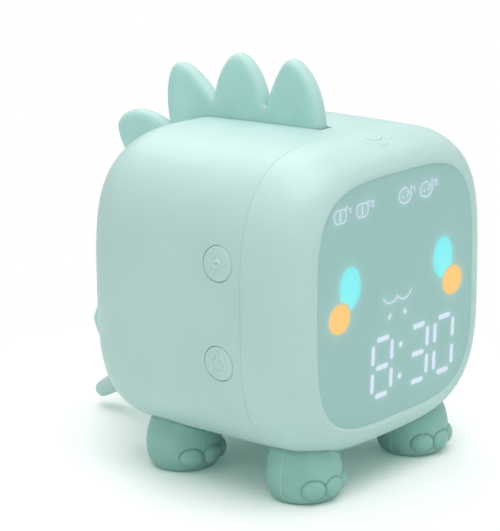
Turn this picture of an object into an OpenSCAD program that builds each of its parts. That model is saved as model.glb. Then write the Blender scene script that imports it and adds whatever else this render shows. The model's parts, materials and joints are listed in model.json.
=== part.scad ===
// Bedside alarm clock for a child, with a soft lit crest of spines.
// Origin: middle of the whole object's box, on the surface the boots stand on.
// -Y is the face, +X its right-hand side seen from behind, +Z is up.

/* [Case] */
// Width of the case
body_w = 102; // [98:1:106]
// Height of the case
body_h = 97; // [94:1:102]
// Depth of the case
body_d = 87; // [84:1:92]
// Corner radius of the case seen from the front
corner_r = 32; // [29:1:34]
// Radius of the front and back edges
edge_r = 15; // [12:1:17]
// Wall thickness of both shells
wall = 2.5; // [2:0.1:3]
// Depth of the front shell, from the face to the seam
front_depth = 21; // [20:0.5:23]
// Length of the lip that enters the rear shell
lip_len = 3; // [2:0.5:4]
// Thickness of the lip
lip_wall = 1.2; // [1:0.1:1.5]
// Clearance between pieces that fit into each other
fit_gap = 0.15; // [0.1:0.05:0.25]

/* [Face panel] */
// Width of the rim between the face panel and each side of the case
rim_side = 11.7; // [11:0.1:13]
// Width of the rim above and below the face panel
rim_top = 10.6; // [10:0.1:12]
// Corner radius of the face panel
panel_r = 21.5; // [18:0.5:24]
// Thickness of the face panel
panel_t = 1.8; // [1.4:0.1:2.2]
// Depth of the panel behind the foremost plane of the case
panel_recess = 1.3; // [0.8:0.1:1.6]
// Width of the ledge that the panel rests on
ledge_w = 2; // [1.6:0.1:2.4]
// Thickness of that ledge
ledge_t = 1.5; // [1.2:0.1:2]

/* [Display] */
// Thickness of the diffuser film
film_t = 0.3; // [0.2:0.1:0.5]
// Depth of the light wells in the display mask
mask_t = 6; // [5:0.5:7]
// Thickness of every circuit board
board_t = 1.6; // [1.2:0.2:2]
// Width of a digit, between the middles of its upright segments
digit_w = 9.5; // [8.5:0.5:10]
// Height of a digit, between the middles of its top and bottom segments
digit_h = 17.5; // [16:0.5:18]
// Width of a lit segment
segment_w = 1.9; // [1.6:0.1:2.4]
// Distance between two digits of a pair
digit_pitch = 13.8; // [13.4:0.1:14.2]
// Height of the digits' middle above the middle of the case
digit_z = -21.6; // [-23:0.2:-20]
// Distance between the eyes
eye_gap = 47.2; // [45:0.2:49]
// Width of an eye
eye_w = 9.6; // [8:0.2:11]
// Height of an eye
eye_h = 12.6; // [11:0.2:14]
// Height of the eyes above the middle of the case
eye_z = 6.6; // [5:0.2:9]
// Distance between the cheeks
cheek_gap = 57.6; // [56:0.2:59]
// Diameter of a cheek
cheek_d = 9.4; // [8:0.2:10]
// Height of the cheeks above the middle of the case
cheek_z = -2; // [-4:0.2:-1]

/* [Buttons] */
// Diameter of a button
button_d = 10.6; // [9.5:0.1:12.4]
// Gap round a button
button_gap = 0.3; // [0.25:0.05:0.4]
// How far a button stands proud of the case
button_proud = 0.4; // [0.2:0.1:0.6]
// Travel of a button
button_travel = 0.5; // [0.3:0.05:0.6]
// Distance from the seam back to the middle of the buttons
button_from_seam = 8.6; // [8:0.1:10]
// Height of the upper buttons above the middle of the case
button_upper_z = 15.5; // [14:0.5:16]
// Height of the lower buttons above the middle of the case
button_lower_z = -15; // [-17:0.5:-13]
// Height of the flange that keeps a button in
flange_t = 1.2; // [1:0.1:1.5]

/* [Crest and tail] */
// Thickness of the crest's blades
crest_t = 5.6; // [5:0.2:6]
// Width of the crest's flange
crest_flange_w = 9; // [8:0.2:10]
// Distance from the front of the case to the front of the crest
crest_from_front = 29.3; // [28:0.1:31]
// Depth of the crest's base line below the top of the case
crest_sink = 0.2; // [0:0.1:0.5]
// Radius of the crest's base line over the back corner
crest_r = 29; // [27:0.5:30]
// Height of the back ridge that carries the crest, over the back of the case
ridge_h = 8.3; // [8:0.1:9]
// Height above the middle of the case where the tail starts to sweep out
sweep_z = 2.3; // [1.5:0.1:3.5]
// Radius of the tail's sweep
sweep_r = 62; // [58:1:66]
// Angle that the tail sweeps through
sweep_angle = 55; // [50:1:58]
// Width of the tail
tail_w = 12; // [11:0.2:13]
// Width of the tail at its tip
tail_tip_w = 6; // [5.6:0.1:7]
// Straight length at the end of the tail
tail_end = 4.6; // [4:0.1:5.5]
// Radius of the tail's tip
tip_r = 2.7; // [2.4:0.1:3]

/* [Boots] */
// Height of the case above the surface the clock stands on
leg_h = 11; // [10:0.5:13]
// Distance from a side of the case to the middle of the boots on that side
boot_inset = 23.3; // [22:0.1:25]
// Distance between the front and back boots
boot_gap_y = 47.8; // [46:0.2:49]
// How far the boots sit in front of the middle of the case
boot_shift = 4; // [3:0.5:5]
// Largest radius of a boot
boot_r = 11.6; // [11:0.1:12]
// Radius of a boot's sole
sole_r = 9; // [8.5:0.1:9.6]
// Radius of a boot at the case
ankle_r = 10; // [9.6:0.1:10.4]
// Diameter of the peg inside a boot
peg_d = 9; // [8:0.2:10]

/* [Insides] */
// Diameter of a screw's thread
screw_d = 2.6; // [2.2:0.1:3]
// Diameter of a screw's head
screw_head_d = 4.8; // [4.4:0.1:5.4]
// Height of a screw's head
screw_head_h = 1.6; // [1.4:0.1:2]
// Diameter of the four pillars that join the shells
pillar_d = 8; // [7.4:0.2:8.6]
// Diameter of the speaker
speaker_d = 40; // [38:0.5:42]
// Diameter of the battery cell
cell_d = 18.4; // [18:0.1:18.8]
// Length of the battery cell
cell_len = 65.2; // [64:0.2:66]
// Diameter of the holes in the speaker grille
grille_hole_d = 2; // [1.6:0.1:2.4]

/* [Hidden] */
$fn = 64;
eps = 0.01;
big = 300;

// half sizes of the case and its main planes, measured from the middle of the case
hw = body_w / 2;
hh = body_h / 2;
hd = body_d / 2;
seam_y = -hd + front_depth;
panel_w = body_w - 2 * rim_side;
panel_h = body_h - 2 * rim_top;
inner_w = body_w - 2 * wall;
inner_h = body_h - 2 * wall;
inner_corner_r = corner_r - wall;
floor_z = -hh + wall;
back_y = hd - wall;
side_x = hw - wall;

// ---- colours
shell_colour = [0.72, 0.86, 0.83];
panel_colour = [0.61, 0.77, 0.75];
crest_colour = [0.63, 0.82, 0.78];
boot_colour = [0.53, 0.71, 0.67];
board_colour = [0.12, 0.42, 0.25];
white_part = [0.93, 0.93, 0.9];
black_part = [0.12, 0.12, 0.13];
steel_colour = [0.74, 0.75, 0.77];
copper_colour = [0.8, 0.5, 0.3];
wire_red = [0.8, 0.12, 0.1];
wire_grey = [0.6, 0.62, 0.65];

// ---- the crest's base line, as arc length s along it and height h above it
crest_front_y = -hd + crest_from_front;
base_top_z = hh - crest_sink;
base_back_y = hd + ridge_h;
corner_y = base_back_y - crest_r;
corner_z = base_top_z - crest_r;
sweep_y = base_back_y + sweep_r;
s_corner = corner_y - crest_front_y;
s_back = s_corner + crest_r * PI / 2;
s_sweep = s_back + corner_z - sweep_z;
s_end = s_sweep + sweep_r * sweep_angle * PI / 180;
run_step = 2;
// blades: place along the base line and height of each point, then how full its two flanks are
crest_scale = s_end / 159.07;
valleys = [[0, 0], [22, 4], [41.7, 4.5], [61.1, 3.5], [80.2, 7.1], [103, 6.3], [130.5, 7], [152.5, 0]];
blade_peaks = [[12.4, 19.7], [33.3, 19.5], [50.5, 19], [70.3, 22.6], [90.2, 25], [120.4, 23.9], [147.9, 19.4]];
blade_shape = [[0.58, 4, 0.02], [0.43, 4.1, 0.35], [0.06, 5.3, 0.28], [0.62, 5, 0.25], [0.34, 4.9, 0.46],
    [0.37, 2.6, 0.04], [0.92, 2.2, 0.17]];
crest_end_s = valleys[7][0] * crest_scale + 2;
rear_flange_s = [68, 112];
// where the tail leaves the case, and the slope of its underside at the tip
tail_leave_z = -12;
tip_under = 26;

// direction of travel along the base line, in degrees below +Y
function base_angle(s) =
    s < s_corner ? 0
    : s < s_back ? (s - s_corner) / crest_r * 180 / PI
    : s < s_sweep ? 90
    : s < s_end ? 90 - (s - s_sweep) / sweep_r * 180 / PI
    : 90 - sweep_angle;
function base_normal(s) = [sin(base_angle(s)), cos(base_angle(s))];
function base_along(s) = [cos(base_angle(s)), -sin(base_angle(s))];
function base_start(s) =
    s < s_corner ? [crest_front_y + s, base_top_z]
    : s < s_back ? [corner_y, corner_z] + crest_r * base_normal(s)
    : s < s_sweep ? [base_back_y, corner_z - (s - s_back)]
    : s < s_end ? [sweep_y, sweep_z] - sweep_r * base_normal(s)
    : [sweep_y, sweep_z] - sweep_r * base_normal(s_end) + (s - s_end) * base_along(s_end);
function base_point(s, h) = base_start(s) + h * base_normal(s);
// a stretch of the base line, from s0 to s1, at height h, on one fixed grid of points
function base_run(s0, s1, h) = concat(
    [base_point(s0, h)],
    [for (k = [floor(s0 / run_step) + 1:ceil(s1 / run_step) - 1]) base_point(k * run_step, h)],
    [base_point(s1, h)]);
function turned(points) = [for (i = [len(points) - 1:-1:0]) points[i]];
function bezier(a, b, c, d, n = 12) =
    [for (i = [1:n]) let (t = i / n)
        pow(1 - t, 3) * a + 3 * t * pow(1 - t, 2) * b + 3 * t * t * (1 - t) * c + t * t * t * d];
function unit(v) = v / norm(v);

// the tail's tip: the rearmost point of the whole object
tip_middle = base_point(s_end + tail_end, -tip_r);
tail_y = tip_middle[0] + tip_r;
// foremost line of the case: the rim beside the panel
rim_e = panel_w / 2 + fit_gap - (hw - edge_r);
rim_y = -(hd - edge_r) - sqrt(edge_r * edge_r - rim_e * rim_e);
case_y = -(tail_y + rim_y) / 2;
case_z = leg_h + hh;

// ---- display
panel_y = -hd + panel_recess;
ledge_y = panel_y + panel_t;
opening_w = panel_w - 2 * ledge_w;
opening_h = panel_h - 2 * ledge_w;
opening_r = panel_r - 2 * ledge_w;
mask_y = ledge_y + film_t;
display_board_y = mask_y + mask_t;
ear_x = hw - 10;
ear_z = 18;
ear_r = 3.6;
post_d = 6.6;
digit_slant = 3;
segment_l = 6.6;
nose_x = 3.9;
nose_z = -6;
smile_r = 3.4;
smile_z = 1;
icon_x = [-27.6, -17.4, 4, 14.8];
icon_z = 29.2;
icon_d = 5;
icon_digit_dx = 5;
colon_x = 1.9;
pair_offset = 9.2;

// ---- buttons, from the wall inwards
button_y = seam_y + button_from_seam;
flange_d = button_d + 2.2;
flange_x = side_x - button_gap;
stem_d = 4;
stem_len = 1.8;
plunger_d = 3.4;
plunger_out = 1.5;
plunger_in = 0.8;
switch_w = 6;
switch_t = 3.5;
switch_x = flange_x - flange_t - stem_len - plunger_out;
switch_board_x = switch_x - switch_t;
switch_board_w = 20;
switch_board_h = body_h - 41;
switch_board_y = button_y + 4.4;
switch_screw_y = switch_board_y + 6;
switch_screw_z = switch_board_h / 2 - 4.5;
lead_start_x = switch_board_x - board_t - 0.8;

// ---- rear and floor fittings
pillar_reach = (inner_corner_r - pillar_d / 2 - 1.6) * cos(45);
pillar_x = hw - corner_r + pillar_reach;
pillar_z = hh - corner_r + pillar_reach;
pillar_end_y = back_y - 8;
shell_screw_seat_y = pillar_end_y + 4;
board_side_gap = 1.9;
main_board_w = 2 * (pillar_x - pillar_d / 2 - board_side_gap);
main_board_h = 34;
main_board_z = 19.5;
main_board_y = back_y - 8 - board_t;
boot_gap_x = body_w - 2 * boot_inset;
main_screw_x = main_board_w / 2 - 4;
main_screw_z = main_board_h / 2 - 4;
cell_z = -14;
cell_y = back_y - 1.2 - cell_d / 2 - fit_gap;
cradle_w = cell_len + 7;
cradle_h = cell_d + 10;
cradle_screw_x = cradle_w / 2 + 3.5;
speaker_y = 4;
speaker_seat_z = floor_z + 2.4;
usb_x = -16;
usb_board_z = floor_z + 11.5;
usb_w = 9;
usb_h = 3.2;
usb_len = 7.4;
peg_floor = 3;
collar_h = 1.5;
boot_gap = 0.05;
boot_bulge_z = 6.2;
ankle_z = 15.5;
ankle_top_z = 20;
toe_angle = 37;
toe_w = 7.6;
toe_h = 5.8;
toe_z = 5.2;
toe_proud = 0.9;
boot_y = [-boot_shift - boot_gap_y / 2, -boot_shift + boot_gap_y / 2];
usb_screw_y = 28.5;
boss_d = 5.5;
cradle_boss_y = back_y - 4;
cradle_tab_t = 1.6;
strap_t = 0.8;
gasket_t = 1;
rim_t = 1.2;
rim_z = speaker_seat_z + gasket_t + rim_t;
basket_h = 5;
socket_d = 4;
ribbon_x = -3;
ribbon_w = 10;
ribbon_plug_z = 9;
battery_plug = [main_screw_x - 7.5, 0, 8];
speaker_plug = [7, 0, 7];
crest_plug = [11, 0, 32];
touch_plug = [-11, 0, 32];
left_plug = [2 - main_screw_x, 0, 19];
right_plug = [main_screw_x - 2, 0, 19];
usb_plug = [8.5 - main_screw_x, 0, 8];
strip_h = 5.4;
strip_t = 0.4;
strip_w = 5;
led_h = 1;
screw_slot_l = 2.6;
screw_slot_w = 0.6;
screw_slot_h = 0.8;
clamp_w = 26;
clamp_len = 33;
clamp_t = 1.6;
clamp_y = 4.5;
clamp_top_z = base_top_z - strip_h;
clamp_screw_x = 9.5;
clamp_screw_y = 11;
flange_top_h = crest_sink - wall;
flange_low_h = -3.8;
tail_start_s = 60;

// ---------------------------------------------------------------- helpers
module in_case() {
    translate([0, case_y, case_z]) children();
}
module round_rect(w, h, r) {
    square([w - 2 * r, h], center = true);
    square([w, h - 2 * r], center = true);
    for (a = [-1, 1], b = [-1, 1]) translate([a * (w / 2 - r), b * (h / 2 - r)]) circle(r);
}
module oval(w, h) {
    square([w - h, h], center = true);
    for (a = [-1, 1]) translate([a * (w - h) / 2, 0]) circle(d = h);
}
// outline in X and Z, drawn from y0 towards +Y
module along_y(y0, len) {
    translate([0, y0 + len, 0]) rotate([90, 0, 0]) linear_extrude(len) children();
}
// outline in Y and Z, centred on X
module along_x(len) {
    translate([-len / 2, 0, 0]) rotate([90, 0, 90]) linear_extrude(len) children();
}
module rod_y(d, y0, y1) {
    translate([0, y1, 0]) rotate([90, 0, 0]) cylinder(d = d, h = y1 - y0);
}
// half of a rounded rectangle: the section of one side of the case
module edge_section(w, d, r) {
    translate([0, -d / 2]) square([w - r, d]);
    translate([0, -d / 2 + r]) square([w, d - 2 * r]);
    for (s = [-1, 1]) translate([w - r, s * (d / 2 - r)]) circle(r);
}
// box with rounded outline corners rc and rounded front and back edges re
module round_box(w, d, h, rc, re) {
    along_x(w - 2 * rc) round_rect(d, h, re);
    for (s = [0, 1]) mirror([s, 0, 0]) {
        translate([w / 2 - rc, 0, rc - h / 2]) linear_extrude(h - 2 * rc) edge_section(rc, d, re);
        for (t = [0, 1]) mirror([0, 0, t]) translate([w / 2 - rc, 0, h / 2 - rc])
            rotate([90, 0, 0]) rotate_extrude(angle = 90) edge_section(rc, d, re);
    }
}
// the case's outside, grown by g all round
module case_solid(g = 0) {
    round_box(body_w + 2 * g, body_d + 2 * g, body_h + 2 * g, corner_r + g, edge_r + g);
}
module case_wall() {
    difference() {
        case_solid();
        case_solid(-wall);
    }
}
// self-tapping screw: head above z = 0, thread of length len below
module screw(len) {
    difference() {
        cylinder(d = screw_head_d, h = screw_head_h);
        for (a = [0, 90]) rotate(a) translate([-screw_slot_l / 2, -screw_slot_w / 2, screw_head_h - screw_slot_h])
            cube([screw_slot_l, screw_slot_w, screw_slot_h + 1]);
    }
    translate([0, 0, -len]) cylinder(d = screw_d, h = len + eps);
}
// band along the crest's base line, between two heights
module base_band(s0, s1, h0, h1, width) {
    along_x(width) polygon(concat(base_run(s0, s1, h0), turned(base_run(s0, s1, h1))));
}
// tube of radius r along a list of points
function smooth(p, n = 3) = concat(
    [p[0]],
    [for (i = [0:len(p) - 2], k = [1:n]) let (
        t = k / n,
        a = p[max(i - 1, 0)], b = p[i], c = p[i + 1], d = p[min(i + 2, len(p) - 1)])
        0.5 * (2 * b + (c - a) * t + (2 * a - 5 * b + 4 * c - d) * t * t
            + (3 * b - a - 3 * c + d) * t * t * t)]);
module tube(route, r, sides = 8, flat = 1) {
    p = smooth(route);
    n = len(p);
    up = [0.13, 0.29, 0.95];
    rings = [for (i = [0:n - 1]) let (
        t = unit(p[min(i + 1, n - 1)] - p[max(i - 1, 0)]),
        u = unit(cross(t, up)),
        v = cross(u, t))
        for (k = [0:sides - 1]) let (a = 360 * k / sides)
            p[i] + r * (cos(a) * u * flat + sin(a) * v)];
    faces = concat(
        [[for (k = [0:sides - 1]) k]],
        [[for (k = [sides - 1:-1:0]) (n - 1) * sides + k]],
        [for (i = [0:n - 2], k = [0:sides - 1]) let (k2 = (k + 1) % sides)
            [i * sides + k, (i + 1) * sides + k, (i + 1) * sides + k2, i * sides + k2]]);
    polyhedron(points = rings, faces = faces, convexity = 6);
}

// ---------------------------------------------------------------- case
module pillar_places() {
    for (a = [-1, 1], b = [-1, 1]) translate([a * pillar_x, 0, b * pillar_z]) children();
}
module boot_place(side, row) {
    translate([side * boot_gap_x / 2, boot_y[row], 0]) children();
}
// peg with a collar, from inside the case wall down into the boot
module peg(gap = 0) {
    bottom = -case_z + peg_floor - gap;
    translate([0, 0, bottom]) cylinder(d = peg_d + 2 * gap, h = floor_z - bottom + 0.6);
    translate([0, 0, -case_z + peg_floor + collar_h]) cylinder(d = peg_d + 1.6 + 2 * gap, h = collar_h);
}
module ear_places() {
    for (a = [-1, 1], b = [-1, 1]) translate([a * ear_x, 0, b * ear_z]) children();
}
module button_places(side) {
    for (z = [button_lower_z, button_upper_z]) translate([0, button_y, z]) rotate([0, side * 90, 0]) children();
}
module front_shell() color(shell_colour) in_case() {
    difference() {
        union() {
            difference() {
                intersection() {
                    case_wall();
                    translate([-big / 2, -big, -big / 2]) cube([big, big + seam_y, big]);
                }
                along_y(-hd - 1, hd) round_rect(panel_w + 2 * fit_gap, panel_h + 2 * fit_gap, panel_r + fit_gap);
            }
            intersection() {
                union() {
                    // ledge behind the panel
                    difference() {
                        along_y(ledge_y, ledge_t) round_rect(panel_w + 6, panel_h + 6, panel_r + 3);
                        along_y(ledge_y - 1, ledge_t + 2) round_rect(opening_w, opening_h, opening_r);
                    }
                    // pillars for the shell screws and posts for the display board
                    pillar_places() rod_y(pillar_d, ledge_y, seam_y);
                    ear_places() rod_y(post_d, ledge_y, display_board_y);
                }
                case_solid(-wall / 2);
            }
            pillar_places() rod_y(pillar_d, seam_y - 1, pillar_end_y);
            // lip that enters the rear shell
            difference() {
                union() {
                    along_y(seam_y - 2, 2) round_rect(inner_w + 0.4, inner_h + 0.4, inner_corner_r + 0.2);
                    along_y(seam_y - eps, lip_len + eps)
                        round_rect(inner_w - 2 * fit_gap, inner_h - 2 * fit_gap, inner_corner_r - fit_gap);
                }
                along_y(seam_y - 3, lip_len + 4)
                    round_rect(inner_w - 2 * lip_wall, inner_h - 2 * lip_wall, inner_corner_r - lip_wall);
            }
            for (side = [-1, 1]) boot_place(side, 0) peg();
        }
        pillar_places() rod_y(screw_d, pillar_end_y - 12, pillar_end_y + 1);
        ear_places() rod_y(screw_d, display_board_y - 4.5, display_board_y + 1);
        // room in the lip for the buttons' flanges
        for (side = [-1, 1]) button_places(side) cylinder(d = flange_d + 1.2, h = hw + 1);
    }
}
module grille_holes() {
    for (ring = [0:3], k = [0:max(6 * ring, 1) - 1])
        translate([0, speaker_y, 0]) rotate(360 * k / max(6 * ring, 1))
            translate([4 * ring, 0, -hh - 1]) cylinder(d = grille_hole_d, h = wall + 2, $fn = 24);
}
module main_screw_places() {
    for (a = [-1, 1], b = [-1, 1])
        translate([a * main_screw_x, 0, main_board_z + b * main_screw_z]) children();
}
module cradle_screw_places() {
    for (a = [-1, 1]) translate([a * cradle_screw_x, 0, cell_z]) children();
}
module tail_screw_places() {
    for (z = [sweep_z + 6, sweep_z + 20]) translate([0, 0, z]) children();
}
module speaker_screw_places() {
    for (k = [0:2]) translate([0, speaker_y, 0]) rotate(90 + 120 * k)
        translate([speaker_d / 2 + 5, 0, 0]) children();
}
module usb_screw_places() {
    for (a = [-1, 1]) translate([usb_x + a * 4.5, usb_screw_y, 0]) children();
}
module clamp_screw_places() {
    for (a = [-1, 1], b = [-1, 1]) translate([a * clamp_screw_x, clamp_y + b * clamp_screw_y, 0]) children();
}
module switch_screw_places(side) {
    for (b = [-1, 1]) translate([side * side_x, switch_screw_y, b * switch_screw_z])
        rotate([0, -side * 90, 0]) children();
}
// room that the crest's blades and its light strip need through the rear shell
module crest_slot() {
    base_band(-2, s_corner + 30, -wall - 3, 6, crest_t + 2 * button_gap);
    base_band(s_corner + 20, s_corner + 34, -strip_h - 0.8, 2, strip_w + 1.6);
}
module rear_shell() color(shell_colour) in_case() {
    difference() {
        union() {
            difference() {
                intersection() {
                    case_wall();
                    translate([-big / 2, seam_y, -big / 2]) cube([big, big, big]);
                }
                crest_slot();
            }
            intersection() {
                union() {
                    // bosses that meet the front shell's pillars
                    pillar_places() rod_y(pillar_d + 1, pillar_end_y, hd);
                    main_screw_places() rod_y(boss_d, main_board_y + board_t, hd);
                    cradle_screw_places() rod_y(boss_d, cradle_boss_y, hd);
                    // speaker seat, then the bosses of its clamp and of the charging board
                    translate([0, speaker_y, -hh]) difference() {
                        cylinder(d = speaker_d + 5, h = rim_z - 0.1 + hh);
                        cylinder(d = speaker_d - 6, h = big);
                        translate([0, 0, speaker_seat_z + hh]) cylinder(d = speaker_d + 0.6, h = big);
                    }
                    speaker_screw_places() translate([0, 0, -hh]) cylinder(d = boss_d, h = rim_z + hh);
                    usb_screw_places() translate([0, 0, -hh]) cylinder(d = boss_d, h = usb_board_z + hh);
                    clamp_screw_places() translate([0, 0, clamp_top_z]) cylinder(d = boss_d, h = hh - clamp_top_z);
                    for (side = [-1, 1]) switch_screw_places(side) translate([0, 0, -wall])
                        cylinder(d = boss_d, h = side_x + wall - switch_board_x);
                }
                case_solid(-wall / 2);
            }
            for (side = [-1, 1]) boot_place(side, 1) peg();
        }
        // button holes, with a flat round the inside of each
        for (side = [-1, 1]) button_places(side) {
            cylinder(d = button_d + 2 * button_gap, h = hw + 1);
            cylinder(d = flange_d + 2, h = side_x);
        }
        grille_holes();
        pillar_places() {
            rod_y(screw_d + 0.4, pillar_end_y - 1, hd);
            rod_y(screw_head_d + 1, shell_screw_seat_y, hd + 1);
        }
        main_screw_places() rod_y(screw_d, main_board_y + board_t - 1, back_y + 0.5);
        cradle_screw_places() rod_y(screw_d, cradle_boss_y - 1, back_y + 0.2);
        tail_screw_places() rod_y(screw_d + 0.4, back_y - 1, hd + 1);
        speaker_screw_places() translate([0, 0, floor_z - 0.3]) cylinder(d = screw_d, h = 10);
        usb_screw_places() translate([0, 0, floor_z]) cylinder(d = screw_d, h = 20);
        clamp_screw_places() translate([0, 0, clamp_top_z - 1]) cylinder(d = screw_d, h = hh - wall - clamp_top_z + 1.5);
        for (side = [-1, 1]) switch_screw_places(side) translate([0, 0, -0.2]) cylinder(d = screw_d, h = 12);
        // opening for the charging plug
        translate([usb_x, 0, usb_board_z + board_t + usb_h / 2])
            along_y(back_y - 6, wall + 8) round_rect(usb_w + 1.4, usb_h + 1.4, usb_h / 2 + 0.6);
    }
}
module shell_screws() color(steel_colour) in_case() {
    pillar_places() translate([0, shell_screw_seat_y, 0]) rotate([-90, 0, 0])
        screw(shell_screw_seat_y - pillar_end_y + 9);
}

// ---------------------------------------------------------------- boots
function boot_profile(g) = concat(
    [[0, 0], [sole_r - 0.7 + g, 0]],
    bezier([sole_r - 0.7 + g, 0], [sole_r + 0.9 + g, 0], [boot_r + g, 2.6], [boot_r + g, boot_bulge_z], 7),
    bezier([boot_r + g, boot_bulge_z], [boot_r + g, boot_bulge_z + 3.2], [ankle_r + 1.2 + g, ankle_z - 3.5],
        [ankle_r + g, ankle_z], 6),
    [[ankle_r + g, ankle_top_z], [0, ankle_top_z]]);
module boot(side, row) {
    difference() {
        boot_place(side, row) translate([0, 0, -case_z]) {
            rotate_extrude() polygon(boot_profile(0));
            intersection() {
                rotate_extrude() polygon(boot_profile(toe_proud));
                for (a = [-1, 0, 1]) rotate(a * toe_angle) translate([0, 0, toe_z])
                    along_y(-boot_r - 3, 6) oval(toe_w, toe_h);
            }
        }
        case_solid();
        boot_place(side, row) peg(boot_gap);
    }
}
module front_left_boot() color(boot_colour) in_case() boot(-1, 0);
module front_right_boot() color(boot_colour) in_case() boot(1, 0);
module rear_left_boot() color(boot_colour) in_case() boot(-1, 1);
module rear_right_boot() color(boot_colour) in_case() boot(1, 1);

// ---------------------------------------------------------------- face and display
module face_panel() color(panel_colour) in_case() {
    along_y(panel_y, panel_t) round_rect(panel_w, panel_h, panel_r);
}
module diffuser_film() color(white_part) in_case() {
    along_y(ledge_y, film_t) round_rect(opening_w - 0.4, opening_h - 0.4, opening_r - 0.2);
}
// middles of a digit's segments: x, z, 1 when upright; the digit leans a little
function seven() = [
    [0, digit_h / 2, 0], [0, 0, 0], [0, -digit_h / 2, 0],
    [-digit_w / 2, digit_h / 4, 1], [digit_w / 2, digit_h / 4, 1],
    [-digit_w / 2, -digit_h / 4, 1], [digit_w / 2, -digit_h / 4, 1]];
digit_x = [-pair_offset - digit_pitch + colon_x, -pair_offset + colon_x, pair_offset + colon_x,
    pair_offset + digit_pitch + colon_x];
module segment_places() {
    for (x = digit_x, s = seven())
        translate([x + s[0] + s[1] * tan(digit_slant), digit_z + s[1]]) rotate(s[2] * (90 - digit_slant)) children();
}
module mark_places() {
    for (b = [-1, 1]) translate([colon_x + b * 5 * tan(digit_slant), digit_z + b * 5]) children();
    for (a = [-1, 1]) translate([a * nose_x, nose_z]) children();
}
module icon_places() {
    for (x = icon_x) translate([x, icon_z]) children();
}
module icon_digit_places() {
    for (x = icon_x) translate([x + icon_digit_dx, icon_z + 1.1]) children();
}
module wells() {
    segment_places() round_rect(segment_l, segment_w, segment_w / 2 - 0.05);
    mark_places() circle(1.2, $fn = 24);
    for (a = [-1, 1]) {
        translate([a * eye_gap / 2, eye_z]) round_rect(eye_w, eye_h, eye_w / 2 - 0.1);
        translate([a * cheek_gap / 2, cheek_z]) circle(d = cheek_d);
        // half of the smile
        translate([a * smile_r, smile_z]) difference() {
            circle(smile_r + 0.7);
            circle(smile_r - 0.7);
            translate([-smile_r * 2, -0.6]) square(smile_r * 4);
        }
    }
    icon_places() round_rect(icon_d, icon_d, icon_d / 3);
    icon_digit_places() round_rect(1.8, 4, 0.85);
}
module display_mask() color(black_part) in_case() {
    along_y(mask_y, mask_t) difference() {
        round_rect(opening_w - 1, opening_h - 1, opening_r - 0.5);
        wells();
    }
}
module display_board() color(board_colour) in_case() {
    along_y(display_board_y, board_t) difference() {
        union() {
            round_rect(opening_w - 2.6, opening_h - 3, opening_r - 1);
            for (b = [-1, 1]) translate([0, b * ear_z]) {
                square([2 * ear_x, 2 * ear_r], center = true);
                for (a = [-1, 1]) translate([a * ear_x, 0]) circle(ear_r);
            }
        }
        for (a = [-1, 1], b = [-1, 1]) translate([a * ear_x, b * ear_z]) circle(d = screw_d + 0.4);
    }
}
module display_leds() color([0.98, 0.95, 0.7]) in_case() {
    along_y(display_board_y - led_h, led_h) {
        segment_places() square([1.6, 1.2], center = true);
        mark_places() square(1.2, center = true);
        icon_places() square(1.6, center = true);
        icon_digit_places() square(1.2, center = true);
        for (a = [-1, 1]) {
            translate([a * eye_gap / 2, eye_z]) for (b = [-1, 1]) translate([0, b * 3]) square(1.6, center = true);
            translate([a * cheek_gap / 2, cheek_z]) square(1.6, center = true);
            translate([a * smile_r, smile_z - smile_r]) square([1.6, 1], center = true);
        }
    }
}
module display_screws() color(steel_colour) in_case() {
    ear_places() translate([0, display_board_y + board_t, 0]) rotate([-90, 0, 0]) screw(board_t + 4);
}

// ---------------------------------------------------------------- main board
module socket_block(x, z, w = 6) {
    translate([x - w / 2, main_board_y - socket_d, z - 2]) cube([w, socket_d, 4]);
}
module main_board() color(board_colour) in_case() {
    difference() {
        translate([0, 0, main_board_z]) along_y(main_board_y, board_t)
            square([main_board_w, main_board_h], center = true);
        main_screw_places() rod_y(screw_d + 0.4, main_board_y - 1, main_board_y + board_t + 1);
    }
}
module main_board_parts() color(black_part) in_case() {
    for (p = [battery_plug, speaker_plug, crest_plug, left_plug, right_plug, usb_plug, touch_plug])
        socket_block(p[0], p[2]);
    translate([ribbon_x, 0, ribbon_plug_z]) along_y(main_board_y - 3, 3) square([ribbon_w + 2, 3], center = true);
    // clock chip, sound chip, memory
    translate([0, 0, 20.5]) along_y(main_board_y - 1.4, 1.4) square(9, center = true);
    translate([-13.5, 0, 21]) along_y(main_board_y - 1.4, 1.4) square([6, 5], center = true);
    translate([14, 0, 21]) along_y(main_board_y - 1.2, 1.2) square([7, 6], center = true);
    // capacitors and the quartz can
    for (p = [[-3, 30], [main_screw_x - 6, 27]])
        translate([p[0], 0, p[1]]) rod_y(5, main_board_y - 6, main_board_y);
    translate([0, 0, 13.5]) along_y(main_board_y - 1.6, 1.6) round_rect(8, 2.6, 1.25);
}
module main_board_screws() color(steel_colour) in_case() {
    main_screw_places() translate([0, main_board_y, 0]) rotate([90, 0, 0]) screw(board_t + 6);
}
module touch_foil() color(copper_colour) in_case() {
    intersection() {
        difference() {
            case_solid(-wall);
            case_solid(-wall - 0.4);
        }
        translate([-12, ledge_y + ledge_t + 0.4, hh - 11.5]) cube([24, 12, 12]);
    }
}

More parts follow.
